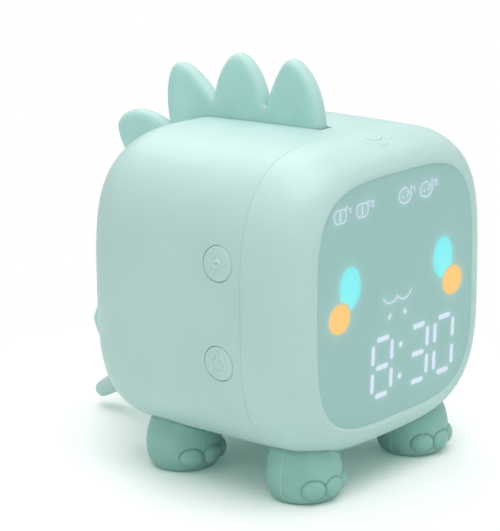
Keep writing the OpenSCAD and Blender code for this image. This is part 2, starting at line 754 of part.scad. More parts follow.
// ---------------------------------------------------------------- crest, its light and the tail
// one blade between two valleys a and b, with its point at p
function blade(a, b, p, ka, kp, kb) = let (
    u = unit(p - (a + b) / 2),
    t = [u[1], -u[0]],
    la = norm(p - a) * ka,
    lb = norm(p - b) * kb)
    concat(bezier(a, a + la * u, p - kp * t, p, 10), bezier(p, p + kp * t, b + lb * u, b, 10));
function valley(k) = base_point(valleys[k][0] * crest_scale, valleys[k][1]);
module crest() color(crest_colour) in_case() {
    outline = [for (k = [0:6]) each blade(valley(k), valley(k + 1),
        base_point(blade_peaks[k][0] * crest_scale, blade_peaks[k][1]),
        blade_shape[k][0], blade_shape[k][1], blade_shape[k][2])];
    along_x(crest_t) polygon(concat([valley(0)], outline, turned(base_run(0, crest_end_s, flange_low_h))));
    base_band(0, s_corner + 1, flange_low_h, flange_top_h, crest_flange_w);
    base_band(rear_flange_s[0], rear_flange_s[1], flange_low_h, 0, crest_flange_w);
}
module crest_light_strip() color([0.95, 0.85, 0.4]) in_case() {
    base_band(4, 150, -strip_h, -strip_h + strip_t, strip_w);
}
module crest_leds() color([0.98, 0.97, 0.85]) in_case() {
    for (s = [12, 20, 34, 47, 68, 76, 88, 96, 112, 122, 134, 146])
        translate([0, base_point(s, -strip_h + strip_t)[0], base_point(s, -strip_h + strip_t)[1]])
            rotate([-base_angle(s), 0, 0]) translate([-1.4, -1, 0.03]) cube([2.8, 2, led_h]);
}
module crest_clamp() color(white_part) in_case() {
    difference() {
        translate([-clamp_w / 2, clamp_y - clamp_len / 2, clamp_top_z - clamp_t])
            cube([clamp_w, clamp_len, clamp_t]);
        clamp_screw_places() translate([0, 0, clamp_top_z - clamp_t - 1]) cylinder(d = screw_d + 0.4, h = 10);
    }
}
module crest_clamp_screws() color(steel_colour) in_case() {
    clamp_screw_places() translate([0, 0, clamp_top_z - clamp_t]) rotate([180, 0, 0]) screw(clamp_t + 2.8);
}
module tail() color(shell_colour) in_case() {
    under_end = tip_middle - tip_r * [sin(tip_under), cos(tip_under)];
    under = bezier([hd, tail_leave_z], [hd, tail_leave_z - 20],
        under_end - 22 * [cos(tip_under), -sin(tip_under)], under_end, 16);
    tip = [for (a = [90 - base_angle(s_end):-9:-90 - tip_under]) tip_middle + tip_r * [cos(a), sin(a)]];
    narrowing = (tail_w - tail_tip_w) / 2 / (tail_y - base_back_y);
    wide = tail_w / 2 + 10 * narrowing;
    narrow = tail_tip_w / 2 - 10 * narrowing;
    difference() {
        intersection() {
            along_x(tail_w) polygon(concat(
                base_run(tail_start_s, s_end + tail_end, 0), tip, turned(under),
                [[hd - 4, tail_leave_z], [hd - 4, corner_z + 10], base_point(tail_start_s, -6)]));
            // seen from above the tail narrows towards its tip
            translate([0, 0, -big / 2]) linear_extrude(big) polygon([
                [-wide, 0], [wide, 0], [wide, base_back_y - 10], [narrow, tail_y + 10],
                [-narrow, tail_y + 10], [-wide, base_back_y - 10]]);
        }
        case_solid();
        // room for the crest: its flange at first, then only its blades
        base_band(50, rear_flange_s[1] + 0.3, -strip_h - 0.05, 2, crest_flange_w + 0.4);
        base_band(rear_flange_s[1], crest_end_s + 0.3, -strip_h - 0.05, 2, crest_t + 0.4);
        tail_screw_places() rod_y(screw_d, back_y, base_back_y - strip_h - 0.2);
    }
}
module tail_screws() color(steel_colour) in_case() {
    tail_screw_places() translate([0, back_y, 0]) rotate([90, 0, 0])
        screw(wall + ridge_h - strip_h - 0.9);
}

// ---------------------------------------------------------------- buttons and switches
module cap(side, z) color(shell_colour) in_case() {
    intersection() {
        translate([0, button_y, z]) rotate([0, side * 90, 0]) {
            translate([0, 0, flange_x - 1]) cylinder(d = button_d, h = 8);
            translate([0, 0, flange_x - flange_t]) cylinder(d = flange_d, h = flange_t);
            translate([0, 0, flange_x - flange_t - stem_len]) cylinder(d = stem_d, h = stem_len + 0.5);
        }
        case_solid(button_proud);
    }
}
module light_button() cap(-1, button_upper_z);
module power_button() cap(-1, button_lower_z);
module plus_button() cap(1, button_upper_z);
module minus_button() cap(1, button_lower_z);
module plunger(side, z) color(black_part) in_case() {
    translate([0, button_y, z]) rotate([0, side * 90, 0])
        translate([0, 0, switch_x - plunger_in]) cylinder(d = plunger_d, h = plunger_out + plunger_in);
}
module light_plunger() plunger(-1, button_upper_z);
module power_plunger() plunger(-1, button_lower_z);
module plus_plunger() plunger(1, button_upper_z);
module minus_plunger() plunger(1, button_lower_z);
module switches(side) color(steel_colour) in_case() {
    button_places(side) difference() {
        translate([-switch_w / 2, -switch_w / 2, switch_board_x]) cube([switch_w, switch_w, switch_t]);
        translate([0, 0, switch_x - plunger_in - button_travel - 0.3]) cylinder(d = plunger_d + 0.6, h = 5);
    }
}
module left_switches() switches(-1);
module right_switches() switches(1);
module switch_board(side) color(board_colour) in_case() {
    difference() {
        translate([side * (switch_board_x - board_t / 2), switch_board_y, 0])
            cube([board_t, switch_board_w, switch_board_h], center = true);
        switch_screw_places(side) cylinder(d = screw_d + 0.4, h = 14);
    }
}
module left_switch_board() switch_board(-1);
module right_switch_board() switch_board(1);
module switch_board_screws() color(steel_colour) in_case() {
    for (side = [-1, 1]) switch_screw_places(side) translate([0, 0, side_x - switch_board_x + board_t])
        screw(board_t + 6);
}

// ---------------------------------------------------------------- speaker
module speaker_gasket() color(black_part) in_case() {
    translate([0, speaker_y, speaker_seat_z]) difference() {
        cylinder(d = speaker_d, h = gasket_t);
        translate([0, 0, -1]) cylinder(d = speaker_d - 6, h = 5);
    }
}
module speaker_frame() color(steel_colour) in_case() {
    translate([0, speaker_y, rim_z - rim_t]) difference() {
        union() {
            cylinder(d = speaker_d, h = rim_t);
            translate([0, 0, rim_t]) cylinder(d1 = speaker_d - 3, d2 = speaker_d - 15, h = basket_h);
            translate([0, 0, rim_t + basket_h]) cylinder(d = speaker_d - 15, h = 1);
        }
        translate([0, 0, -1]) cylinder(d = speaker_d - 6, h = rim_t + 1);
        translate([0, 0, rim_t - eps]) cylinder(d1 = speaker_d - 6, d2 = speaker_d - 17, h = basket_h + eps);
        cylinder(d = 12, h = 20);
    }
}
module speaker_cone() color(black_part) in_case() {
    translate([0, speaker_y, rim_z - rim_t + 0.3]) {
        difference() {
            union() {
                cylinder(d = speaker_d - 6, h = 0.5);
                cylinder(d1 = speaker_d - 12, d2 = 12, h = 4);
            }
            translate([0, 0, -eps]) cylinder(d1 = speaker_d - 13.4, d2 = 10.6, h = 4);
        }
        translate([0, 0, 3.5]) cylinder(d = 11, h = 0.5);
    }
}
module speaker_magnet() color(steel_colour) in_case() {
    translate([0, speaker_y, rim_z + basket_h + 1]) {
        cylinder(d = 22, h = 5);
        translate([0, 0, 5]) cylinder(d = 20, h = 1);
    }
}
module speaker_clamp() color(white_part) in_case() {
    difference() {
        union() {
            translate([0, speaker_y, rim_z]) cylinder(d = speaker_d + 4, h = 1.2);
            speaker_screw_places() translate([0, 0, rim_z]) cylinder(r = 3.2, h = 1.2);
        }
        translate([0, speaker_y, rim_z - 1]) cylinder(d = speaker_d - 2, h = 5);
        speaker_screw_places() translate([0, 0, rim_z - 1]) cylinder(d = screw_d + 0.4, h = 5);
    }
}
module speaker_screws() color(steel_colour) in_case() {
    speaker_screw_places() translate([0, 0, rim_z + 1.2]) screw(5);
}

// ---------------------------------------------------------------- battery and charging
module battery_cell() color([0.25, 0.45, 0.75]) in_case() {
    translate([-cell_len / 2, cell_y + fit_gap, cell_z]) rotate([0, 90, 0]) cylinder(d = cell_d, h = cell_len);
}
module battery_cradle() color(white_part) in_case() {
    difference() {
        union() {
            intersection() {
                translate([-cradle_w / 2, cell_y, cell_z - cradle_h / 2]) cube([cradle_w, back_y - cell_y, cradle_h]);
                case_solid(-wall);
            }
            cradle_screw_places() rod_y(7, cradle_boss_y - cradle_tab_t, cradle_boss_y);
        }
        translate([-cell_len / 2 - 0.2, cell_y, cell_z]) rotate([0, 90, 0])
            cylinder(d = cell_d + 2 * fit_gap, h = cell_len + 0.4);
        cradle_screw_places() {
            rod_y(screw_d + 0.4, cradle_boss_y - 5, cradle_boss_y + 1);
            rod_y(boss_d + 0.6, cradle_boss_y, back_y + 1);
            rod_y(screw_head_d + 0.6, cell_y - 1, cradle_boss_y - cradle_tab_t);
        }
        strap_screw_places() rod_y(screw_d, cell_y - 1, cell_y + 5);
    }
}
module strap_screw_places() {
    for (b = [-1, 1]) translate([0, 0, cell_z + b * (cell_d / 2 + 3.8)]) children();
}
module battery_strap() color(steel_colour) in_case() {
    difference() {
        union() {
            intersection() {
                translate([0, cell_y + fit_gap, cell_z]) rotate([0, 90, 0])
                    cylinder(d = cell_d + 2 * strap_t, h = 10, center = true);
                translate([-5, cell_y - 20, cell_z - 20]) cube([10, 20, 40]);
            }
            translate([-5, cell_y - strap_t, cell_z - cradle_h / 2]) cube([10, strap_t, cradle_h]);
        }
        translate([0, cell_y + fit_gap, cell_z]) rotate([0, 90, 0]) cylinder(d = cell_d, h = 12, center = true);
        strap_screw_places() rod_y(screw_d + 0.2, cell_y - 2, cell_y + 1);
    }
}
module battery_screws() color(steel_colour) in_case() {
    cradle_screw_places() translate([0, cradle_boss_y - cradle_tab_t, 0]) rotate([90, 0, 0]) screw(cradle_tab_t + 3);
    strap_screw_places() translate([0, cell_y - strap_t, 0]) rotate([90, 0, 0]) screw(strap_t + 4);
}
module usb_board() color(board_colour) in_case() {
    difference() {
        translate([usb_x - 7, usb_screw_y - 3.5, usb_board_z]) cube([14, back_y - usb_screw_y + 3.1, board_t]);
        usb_screw_places() translate([0, 0, usb_board_z - 1]) cylinder(d = screw_d + 0.4, h = 5);
    }
}
module usb_socket() color(steel_colour) in_case() {
    translate([usb_x, 0, usb_board_z + board_t + usb_h / 2]) difference() {
        along_y(back_y + 0.9 - usb_len, usb_len) round_rect(usb_w, usb_h, usb_h / 2 - 0.1);
        along_y(back_y - 4.5, 8) round_rect(usb_w - 0.6, usb_h - 0.6, usb_h / 2 - 0.4);
    }
    translate([usb_x, 0, usb_board_z + board_t + usb_h / 2])
        along_y(back_y - 5, 4.6) round_rect(6.4, 0.7, 0.3);
}
module usb_screws() color(steel_colour) in_case() {
    usb_screw_places() translate([0, 0, usb_board_z + board_t]) screw(board_t + 6);
}

// ---------------------------------------------------------------- leads
module battery_lead() color(wire_red) in_case()
    tube([[cell_len / 2 + 0.8, 26, -14], [cell_len / 2 + 1.4, 24, -8], [30, 22, -1], [22, 22, 5],
        [battery_plug[0], 24, 8], [battery_plug[0], 27.2, 8]], 0.8);
module speaker_lead() color(wire_grey) in_case()
    tube([[14.2, 4, -37.5], [17, 5, -34], [20, 8, -24], [15, 12, -10], [8, 18, 2], [7, 23, 7], [7, 27.2, 7]], 0.8);
module crest_lead() color(wire_grey) in_case()
    tube([[0, 24, 41.8], [3, 23, 38], [8, 22, 35], [11, 24, 32], [11, 27.2, 32]], 0.8);
module touch_lead() color(wire_grey) in_case()
    tube([[-6, -27, 45], [-9, -24, 42], [-16, -12, 38], [-17, 6, 36], [-14, 18, 34], [-11, 24, 32],
        [-11, 27.2, 32]], 0.6);
module left_switch_lead() color(wire_grey) in_case()
    tube([[-lead_start_x, -6, 0], [1.8 - lead_start_x, -2, 3], [-34, 8, 9], [-29, 18, 16],
        [left_plug[0], 24, 19], [left_plug[0], 27.2, 19]], 0.8);
module right_switch_lead() color(wire_grey) in_case()
    tube([[lead_start_x, -6, 0], [lead_start_x - 1.8, -2, 3], [34, 8, 9], [29, 18, 16],
        [right_plug[0], 24, 19], [right_plug[0], 27.2, 19]], 0.8);
module usb_lead() color(wire_red) in_case()
    tube([[usb_x, 27, usb_board_z + 2.4], [-17, 22, -31], [-22, 16, -24], [-23, 15, -10], [-20, 19, 1],
        [usb_plug[0], 24, 8], [usb_plug[0], 27.2, 8]], 0.8);
module display_ribbon() color([0.85, 0.85, 0.88]) in_case() {
    run = smooth([[display_board_y + board_t + 0.4, -4], [display_board_y + board_t + 1, -9], [-29, -14], [-18, -16],
        [-2, -11], [12, 0], [22, 8], [main_board_y - 3, ribbon_plug_z]], 4);
    n = len(run);
    side = [for (i = [0:n - 1]) let (t = unit(run[min(i + 1, n - 1)] - run[max(i - 1, 0)])) [-t[1], t[0]]];
    translate([ribbon_x, 0, 0]) along_x(ribbon_w)
        polygon(concat([for (i = [0:n - 1]) run[i] + 0.3 * side[i]], turned(run)));
}

// ---------------------------------------------------------------- what is drawn
front_shell();
rear_shell();
face_panel();
diffuser_film();
display_mask();
display_board();
display_leds();
display_screws();
display_ribbon();
main_board();
main_board_parts();
main_board_screws();
touch_foil();
touch_lead();
crest();
crest_light_strip();
crest_leds();
crest_lead();
crest_clamp();
crest_clamp_screws();
tail();
tail_screws();
light_button();
power_button();
plus_button();
minus_button();
light_plunger();
power_plunger();
plus_plunger();
minus_plunger();
left_switch_board();
right_switch_board();
left_switches();
right_switches();
switch_board_screws();
left_switch_lead();
right_switch_lead();
speaker_frame();
speaker_cone();
speaker_magnet();
speaker_gasket();
speaker_clamp();
speaker_screws();
speaker_lead();
battery_cell();
battery_cradle();
battery_strap();
battery_screws();
battery_lead();
usb_socket();
usb_board();
usb_screws();
usb_lead();
front_left_boot();
front_right_boot();
rear_left_boot();
rear_right_boot();
shell_screws();
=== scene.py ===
"""Dresses the bedside alarm clock: shells, lit face, crest, tail, boots, buttons and their finishes."""

import json
import math

import bmesh
import bpy
import numpy as np
from bpy.props import FloatProperty, FloatVectorProperty, IntProperty, PointerProperty
from mathutils import Matrix, Vector
from mathutils.bvhtree import BVHTree
from mathutils.geometry import delaunay_2d_cdt


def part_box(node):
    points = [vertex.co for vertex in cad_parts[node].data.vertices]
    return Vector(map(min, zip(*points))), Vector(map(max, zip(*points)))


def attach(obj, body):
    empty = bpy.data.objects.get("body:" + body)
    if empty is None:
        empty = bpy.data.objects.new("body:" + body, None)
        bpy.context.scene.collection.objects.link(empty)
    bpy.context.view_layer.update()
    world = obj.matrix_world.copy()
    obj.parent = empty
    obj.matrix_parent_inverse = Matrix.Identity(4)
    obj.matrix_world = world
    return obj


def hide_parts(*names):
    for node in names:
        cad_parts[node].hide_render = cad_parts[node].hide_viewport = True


bl_info = {
    "name": "Child's Alarm Clock with Night Light",
    "version": (1, 0, 0),
    "blender": (4, 5, 0),
    "location": "View3D > Sidebar > Alarm Clock",
    "description": "Builds the dressed pieces of a bedside alarm clock on its solid frame",
    "category": "Add Mesh",
}

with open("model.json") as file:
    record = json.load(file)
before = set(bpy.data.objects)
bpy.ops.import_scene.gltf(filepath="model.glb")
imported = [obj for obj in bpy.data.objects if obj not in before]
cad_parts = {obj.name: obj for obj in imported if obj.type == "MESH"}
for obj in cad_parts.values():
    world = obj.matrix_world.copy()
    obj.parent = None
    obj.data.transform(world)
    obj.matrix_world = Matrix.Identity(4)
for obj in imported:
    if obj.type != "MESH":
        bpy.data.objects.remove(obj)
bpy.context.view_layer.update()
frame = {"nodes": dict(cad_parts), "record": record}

# Sizes in the working functions are millimetres from the middle of the case.
MM = 0.001
HALF_D = 43.5
HALF_H = 48.5
CASE_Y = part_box("rear_shell")[1].y / MM - HALF_D
CASE_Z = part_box("rear_shell")[1].z / MM - HALF_H
BUTTONS = ("light", "power", "plus", "minus")
BUTTON_R, BUTTON_HOLE_R, BUTTON_PROUD = 5.35, 5.52, 0.32
WELLS = [(x, z) for z in (-33.4, 33.4) for x in (-35.9, 35.9)]
WELL_R, WELL_Y, WELL_BACK = 2.9, 37.2, 9
INLET_X, INLET_Z = -16, -31.3
TOUCH_Y, TOUCH_WIDE, TOUCH_LONG = -30.1, 1.4, 1.28


# ---------------------------------------------------------------- what a user may change
def length(name, description, value):
    return FloatProperty(name=name, description=description, default=value, unit="LENGTH")


def square_choice(value):
    return FloatProperty(name="Squareness", description="2 is an oval, more is squarer", default=value)


def colour_choice(name, description, value):
    return FloatVectorProperty(
        name=name, description=description, subtype="COLOR", size=3, min=0.0, max=1.0, default=value
    )


class ClockCaseSizes(bpy.types.PropertyGroup):
    width: length("Width", "Width of the case", 0.102)
    height: length("Height", "Height of the case", 0.097)
    squareness: square_choice(3.31)
    edge: length("Edge radius", "Radius of the front and back edges", 0.015)
    seam: length("Seam", "Place of the seam behind the middle", -0.0225)
    crown: length("Crown", "How much the sides pull in towards the ends", 0.0006)
    wall: length("Wall", "Thickness of the shells", 0.0025)
    lip: length("Rim", "Width of the low rim round the face", 0.0026)


class ClockFaceSizes(bpy.types.PropertyGroup):
    width: length("Width", "Width of the face panel", 0.0786)
    height: length("Height", "Height of the face panel", 0.0758)
    squareness: square_choice(3.9)
    front: length("Front", "Place of the panel's front face", -0.0422)
    hour: IntProperty(name="Hour", description="Hour that the display shows", default=8, min=0, max=23)
    minute: IntProperty(name="Minute", description="Minute that the display shows", default=30, min=0, max=59)
    bar: length("Bar width", "Width of a lit bar", 0.0016)


class ClockCrestSizes(bpy.types.PropertyGroup):
    thickness: length("Thickness", "Thickness of the spines", 0.0056)
    edge: length("Edge radius", "Rounding of the spines' edges", 0.0024)
    tail_width: length("Tail width", "Width of the tail", 0.012)
    tail_edge: length("Tail rounding", "Rounding of the tail's edges", 0.0038)


class ClockBootSizes(bpy.types.PropertyGroup):
    toe_height: length("Toe height", "How far the toes stand out", 0.0014)
    groove: length("Groove depth", "Depth of the groove round each toe", 0.0003)


class ClockColours(bpy.types.PropertyGroup):
    case: colour_choice("Case", "Satin plastic of both shells", (0.536, 0.742, 0.713))
    panel: colour_choice("Panel", "Tinted face panel", (0.359, 0.606, 0.582))
    crest: colour_choice("Crest", "Soft translucent spines", (0.48, 0.795, 0.74))
    boots: colour_choice("Boots", "Soft rubber of the boots", (0.302, 0.582, 0.512))
    eyes: colour_choice("Eyes", "Light of the eyes", (0.223, 0.871, 0.888))
    cheeks: colour_choice("Cheeks", "Light of the cheeks", (0.99, 0.60, 0.19))
    digits: colour_choice("Digits", "Light of the digits and symbols", (0.76, 0.855, 1.0))
    floor: colour_choice("Floor", "Colour of the floor", (0.99, 0.95, 0.945))


def mm(metres):
    return metres / MM


# ---------------------------------------------------------------- shader maths
def srgb(*channels):
    """Linear colour of 0-255 display values."""
    shares = [v / 255 for v in channels]
    return tuple(c / 12.92 if c <= 0.04045 else ((c + 0.055) / 1.055) ** 2.4 for c in shares)


def shaded(colour, share):
    return [min(1, c * share) for c in colour]


def opaque(colour):
    return (*colour[:3], 1.0)


class Wire:
    """An output socket that takes part in plain arithmetic."""

    def __init__(self, shop, socket):
        self.shop = shop
        self.socket = socket

    def _maths(self, operation, other):
        return self.shop.node("ShaderNodeMath", {"operation": operation}, {0: self, 1: other})

    def __add__(self, other):
        return self._maths("ADD", other)

    def __mul__(self, other):
        return self._maths("MULTIPLY", other)

    __radd__, __rmul__ = __add__, __mul__

    def step(self, low, high):
        """0 below low, 1 above high and eased between them."""
        return self.shop.node("ShaderNodeMapRange", {"interpolation_type": "SMOOTHSTEP"},
                              {"Value": self, "From Min": low, "From Max": high})


class Finish:
    """A material or world, and the workshop that wires its nodes."""

    def __init__(self, name, kind="Material"):
        self.owner = (bpy.data.materials if kind == "Material" else bpy.data.worlds).new(name)
        self.owner.use_nodes = True
        self.tree = self.owner.node_tree
        self.tree.nodes.clear()
        self.output = self.tree.nodes.new("ShaderNodeOutput" + kind)

    def fill(self, socket, value):
        if isinstance(value, Wire):
            self.tree.links.new(value.socket, socket)
        else:
            socket.default_value = value

    def node(self, kind, settings, inputs, output=0):
        """Adds a node: its settings first, then the values or links of its sockets."""
        made = self.tree.nodes.new(kind)
        for key, value in settings.items():
            setattr(made, key, value)
        for key, value in inputs.items():
            self.fill(made.inputs[key], value)
        return Wire(self, made.outputs[output])

    def mix(self, factor, first, second):
        """A colour between two colours."""
        made = self.tree.nodes.new("ShaderNodeMix")
        made.data_type = "RGBA"
        sockets = {s.identifier: s for s in (*made.inputs, *made.outputs)}
        self.fill(sockets["Factor_Float"], factor)
        for key, colour in (("A_Color", first), ("B_Color", second)):
            self.fill(sockets[key], colour if isinstance(colour, Wire) else opaque(colour))
        return Wire(self, sockets["Result_Color"])

    def clouded(self, cloud, colour, dark, pale, low=0.3, high=0.7):
        """The colour, darker and paler by these shares where the cloud is low and high."""
        return self.mix(cloud.step(low, high), shaded(colour, dark), shaded(colour, pale))

    def place(self):
        return self.node("ShaderNodeTexCoord", {}, {}, "Object")

    def noise(self, size, detail=2.0, roughness=0.5, stretch=None):
        """Cloudy noise whose patches are about size millimetres."""
        where = self.place()
        if stretch:
            where = self.node("ShaderNodeMapping", {}, {"Vector": where, "Scale": stretch})
        values = {"Vector": where, "Scale": 1.0 / (size * MM), "Detail": detail, "Roughness": roughness}
        return self.node("ShaderNodeTexNoise", {}, values)

    def bump(self, height, distance):
        """Normal from a height, with distance in millimetres."""
        return self.node("ShaderNodeBump", {}, {"Height": height, "Distance": distance * MM, "Strength": 1.0})

    def seen(self):
        """1 for what the camera sees directly, 0 for light on its way."""
        return self.node("ShaderNodeLightPath", {}, {}, "Is Camera Ray")

    def attribute(self, name, output="Fac"):
        return self.node("ShaderNodeAttribute", {"attribute_name": name}, {}, output)

    def surface(self, inputs):
        """Ends the material with its one shader."""
        return self.end_with(self.node("ShaderNodeBsdfPrincipled", {}, inputs))

    def end_with(self, shader):
        self.tree.links.new(shader.socket, self.output.inputs["Surface"])
        return self.owner

    def white_where(self, share, shader, kind):
        """A shader that gives way to plain white by a share."""
        white = self.node(kind, {}, {"Color": (1, 1, 1, 1), "Strength": 1.0})
        return self.node("ShaderNodeMixShader", {}, {0: share, 1: shader, 2: white})


# ---------------------------------------------------------------- finishes
def moulded(name, colour, roughness=0.45, grain=0.35, depth=0.012, **fixed):
    """Moulded plastic: faint clouding of the colour, a fine spark-eroded grain and uneven gloss."""
    f = Finish(name)
    return f.surface({
        "Base Color": f.clouded(f.noise(24), colour, 0.975, 1.015, 0.35),
        "Roughness": f.noise(7) * 0.08 + (roughness - 0.04),
        "Normal": f.bump(f.noise(grain, 3, 0.6), depth),
        **fixed,
    })


def case_finish(name, colour):
    """Satin plastic with a very fine grain and slight clouding."""
    return moulded(name, colour, 0.42, 0.3, 0.006, **{
        "IOR": 1.47,
        "Subsurface Weight": 0.08,
        "Subsurface Radius": (0.9, 1.0, 0.95),
        "Subsurface Scale": 0.002,
    })


UNLIT_LAMP = (0.08, 0.22, 0.22)


def panel_finish(name, colour):
    """Tinted panel that the lamps shine through."""
    f = Finish(name)
    tone = f.clouded(f.noise(30), colour, 0.985, 1.01, 0.35)
    return f.surface({
        "Base Color": f.mix(f.attribute("glow", "Alpha"), tone, UNLIT_LAMP),
        "Roughness": f.noise(9) * 0.06 + 0.33,
        "Normal": f.bump(f.noise(0.25, 3, 0.6), 0.003),
        "Emission Color": f.attribute("glow", "Color"),
        "Emission Strength": 1.0,
        "IOR": 1.49,
    })


def light_finish(name, colour, share=0.55):
    """A lit bar or symbol: part of its colour is its own light."""
    f = Finish(name)
    cloud = f.noise(1.2)
    return f.surface({
        "Base Color": f.clouded(cloud, colour, (1 - share) * 0.95, 1 - share),
        "Roughness": f.noise(2) * 0.1 + 0.4,
        "Emission Color": f.clouded(cloud, colour, share * 0.96, share * 1.03),
        "Emission Strength": 1.0,
    })


def crest_finish(name, colour):
    """Soft silicone, lightly clouded, with a dry skin, and painted light towards the outline of its rounded
    edges.
    """
    f = Finish(name)
    tone = f.clouded(f.noise(9, 3), colour, 0.96, 1.03, 0.3, 0.75)
    red, green, blue = colour
    return f.surface({
        # painted light: towards the outline the colour turns redder and less green, standing for how light
        # falls on the rounded edges
        "Base Color": f.mix(f.attribute("edge") * 0.8, tone, (red * 1.05, green * 0.88, blue * 0.91)),
        "Roughness": f.noise(5) * 0.1 + 0.42,
        "Normal": f.bump(f.noise(0.4, 3, 0.6), 0.006),
        "Subsurface Weight": 0.35,
        "Subsurface Radius": (0.8, 1.0, 0.95),
        "Subsurface Scale": 0.003,
        "IOR": 1.41,
    })


def boot_finish(name, colour):
    """Soft rubber, clouded, with painted shade in its toe grooves and where it meets the case, and painted
    highlights on its toes and parting lines.
    """
    f = Finish(name)
    shade = f.attribute("shade")
    tone = f.clouded(f.noise(8, 3), colour, 0.95, 1.04, 0.3, 0.75)
    # painted shade where the shade attribute is above 0
    tone = f.mix(shade.step(0, 1), tone, shaded(colour, 0.72))
    return f.surface({
        # painted highlight where the shade attribute is below 0
        "Base Color": f.mix((shade * -1).step(0, 1) * 0.6, tone, shaded(colour, 1.45)),
        "Roughness": f.noise(4) * 0.12 + 0.52,
        "Normal": f.bump(f.noise(0.35, 3, 0.6), 0.01),
        "Sheen Weight": 0.15,
        "Sheen Roughness": 0.5,
        "IOR": 1.42,
    })


def metal_finish(name, colour, roughness=0.3, streak=(1, 1, 12)):
    """Plated or drawn metal with fine streaks."""
    f = Finish(name)
    lines = f.noise(0.8, 4, 0.6, streak)
    return f.surface({
        "Base Color": f.clouded(lines, colour, 0.9, 1),
        "Metallic": 1.0,
        "Roughness": lines * 0.15 + (roughness - 0.07),
        "Normal": f.bump(lines, 0.004),
    })


def board_finish(name, colour):
    """Solder mask over faint copper runs."""
    f = Finish(name)
    runs = f.node("ShaderNodeTexBrick", {"offset": 0.5}, {
        "Vector": f.place(), "Scale": 320.0, "Mortar Size": 0.02, "Color1": opaque(colour),
        "Color2": opaque(shaded(colour, 1.12)), "Mortar": opaque(shaded(colour, 0.75))})
    cloud = f.noise(5)
    return f.surface({
        "Base Color": f.mix(cloud * 0.3, runs, shaded(colour, 0.8)),
        "Roughness": cloud * 0.1 + 0.25,
        "Normal": f.bump(f.noise(0.6), 0.01),
    })


def lens_finish(name, colour):
    """Small light emitters with a pale diffusing lens."""
    f = Finish(name)
    cloud = f.noise(0.8)
    return f.surface({
        "Base Color": f.clouded(cloud, colour, 0.9, 1),
        "Roughness": cloud * 0.1 + 0.2,
        "Emission Color": f.clouded(cloud, colour, 0.2, 0.26),
        "Emission Strength": 1.0,
    })


def inner_finishes():
    """Finishes of the pieces that keep their solid shape, by material slot."""
    return {
        "film": moulded("diffuser film", srgb(238, 238, 230), 0.5, 0.3, 0.004),
        "dark_plastic": moulded("black plastic", srgb(38, 38, 41), 0.5, 0.4, 0.015),
        "board": board_finish("circuit board", srgb(24, 98, 58)),
        "led": lens_finish("emitter lens", srgb(250, 243, 200)),
        "steel": metal_finish("plated steel", srgb(198, 200, 204)),
        "ribbon": moulded("flat cable", srgb(216, 216, 224), 0.4, 0.6, 0.02),
        "foil": metal_finish("copper foil", srgb(214, 140, 92), 0.35, (1, 12, 1)),
        "wire_grey": moulded("grey sleeve", srgb(150, 155, 160), 0.5, 0.4, 0.01),
        "wire_red": moulded("red sleeve", srgb(190, 34, 28), 0.5, 0.4, 0.01),
        "strip": moulded("flexible light strip", srgb(236, 206, 110), 0.45, 0.5, 0.01),
        "white_plastic": moulded("white plastic", srgb(236, 236, 230), 0.45, 0.4, 0.012),
        "switch_can": metal_finish("tinned can", srgb(205, 206, 208), 0.28, (12, 1, 1)),
        "paper_cone": moulded("paper cone", srgb(44, 42, 42), 0.8, 0.8, 0.06),
        "magnet": metal_finish("nickel plate", srgb(176, 178, 182), 0.22),
        "foam": moulded("foam gasket", srgb(52, 52, 55), 0.95, 0.9, 0.15),
        "cell": moulded("shrink sleeve", srgb(60, 104, 178), 0.28, 0.9, 0.01),
    }


# ---------------------------------------------------------------- mesh helpers
def to_frame(points):
    """Case millimetres to metres in the shared frame."""
    return (np.asarray(points, float) + (0.0, CASE_Y, CASE_Z)) * MM


def middle_of(node):
    """Middle of a solid in case millimetres."""
    low, high = (np.array(v) / MM - (0, CASE_Y, CASE_Z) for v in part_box(node))
    return (low + high) / 2


def eased(value, low, high):
    """0 below low, 1 above high and eased between them."""
    t = np.clip((value - low) / (high - low), 0, 1)
    return t * t * (3 - 2 * t)


def circle(sides):
    return np.linspace(0, 2 * math.pi, sides, endpoint=False)


def arc(cx, cz, rx, rz, start, end, count=24):
    a = np.radians(np.linspace(start, end, count))
    return np.c_[cx + rx * np.cos(a), cz + rz * np.sin(a)]


def bezier(a, b, c, d, count=24):
    """Points of a curve from a to d, without a itself."""
    a, b, c, d = (np.asarray(p, float) for p in (a, b, c, d))
    t = (np.arange(1, count + 1) / count)[:, None]
    return list((1 - t) ** 3 * a + 3 * t * (1 - t) ** 2 * b + 3 * t * t * (1 - t) * c + t ** 3 * d)


def at_y(flat, y):
    """Points in x and z, laid at depth y."""
    return np.c_[flat[:, 0], np.full(len(flat), y), flat[:, 1]]


def unit(vectors):
    return vectors / np.maximum(np.linalg.norm(vectors, axis=-1, keepdims=True), 1e-9)


def ring_faces(count, size, closed=False, ends=False):
    """Quads between rings stored one after another; ends closes the first and last ring with a face."""
    a = np.arange(size)
    b = (a + 1) % size
    faces = []
    for k in range(count if closed else count - 1):
        low, high = k * size, ((k + 1) % count) * size
        faces += np.c_[low + a, low + b, high + b, high + a].tolist()
    if ends:
        faces += [a[::-1].tolist(), ((count - 1) * size + a).tolist()]
    return faces


def fan(start, size, pole):
    """Triangles from the ring that begins at start to a pole."""
    a = np.arange(size)
    return np.c_[start + a, start + (a + 1) % size, np.full(size, pole)].tolist()


def with_poles(rings, start, end):
    """Closed form over rings, with a pole before the first and one after the last."""
    count, size = len(rings), len(rings[0])
    pole = count * size
    faces = ring_faces(count, size) + fan(0, size, pole) + fan(pole - size, size, pole + 1)
    return np.concatenate(rings + [[start, end]]), faces


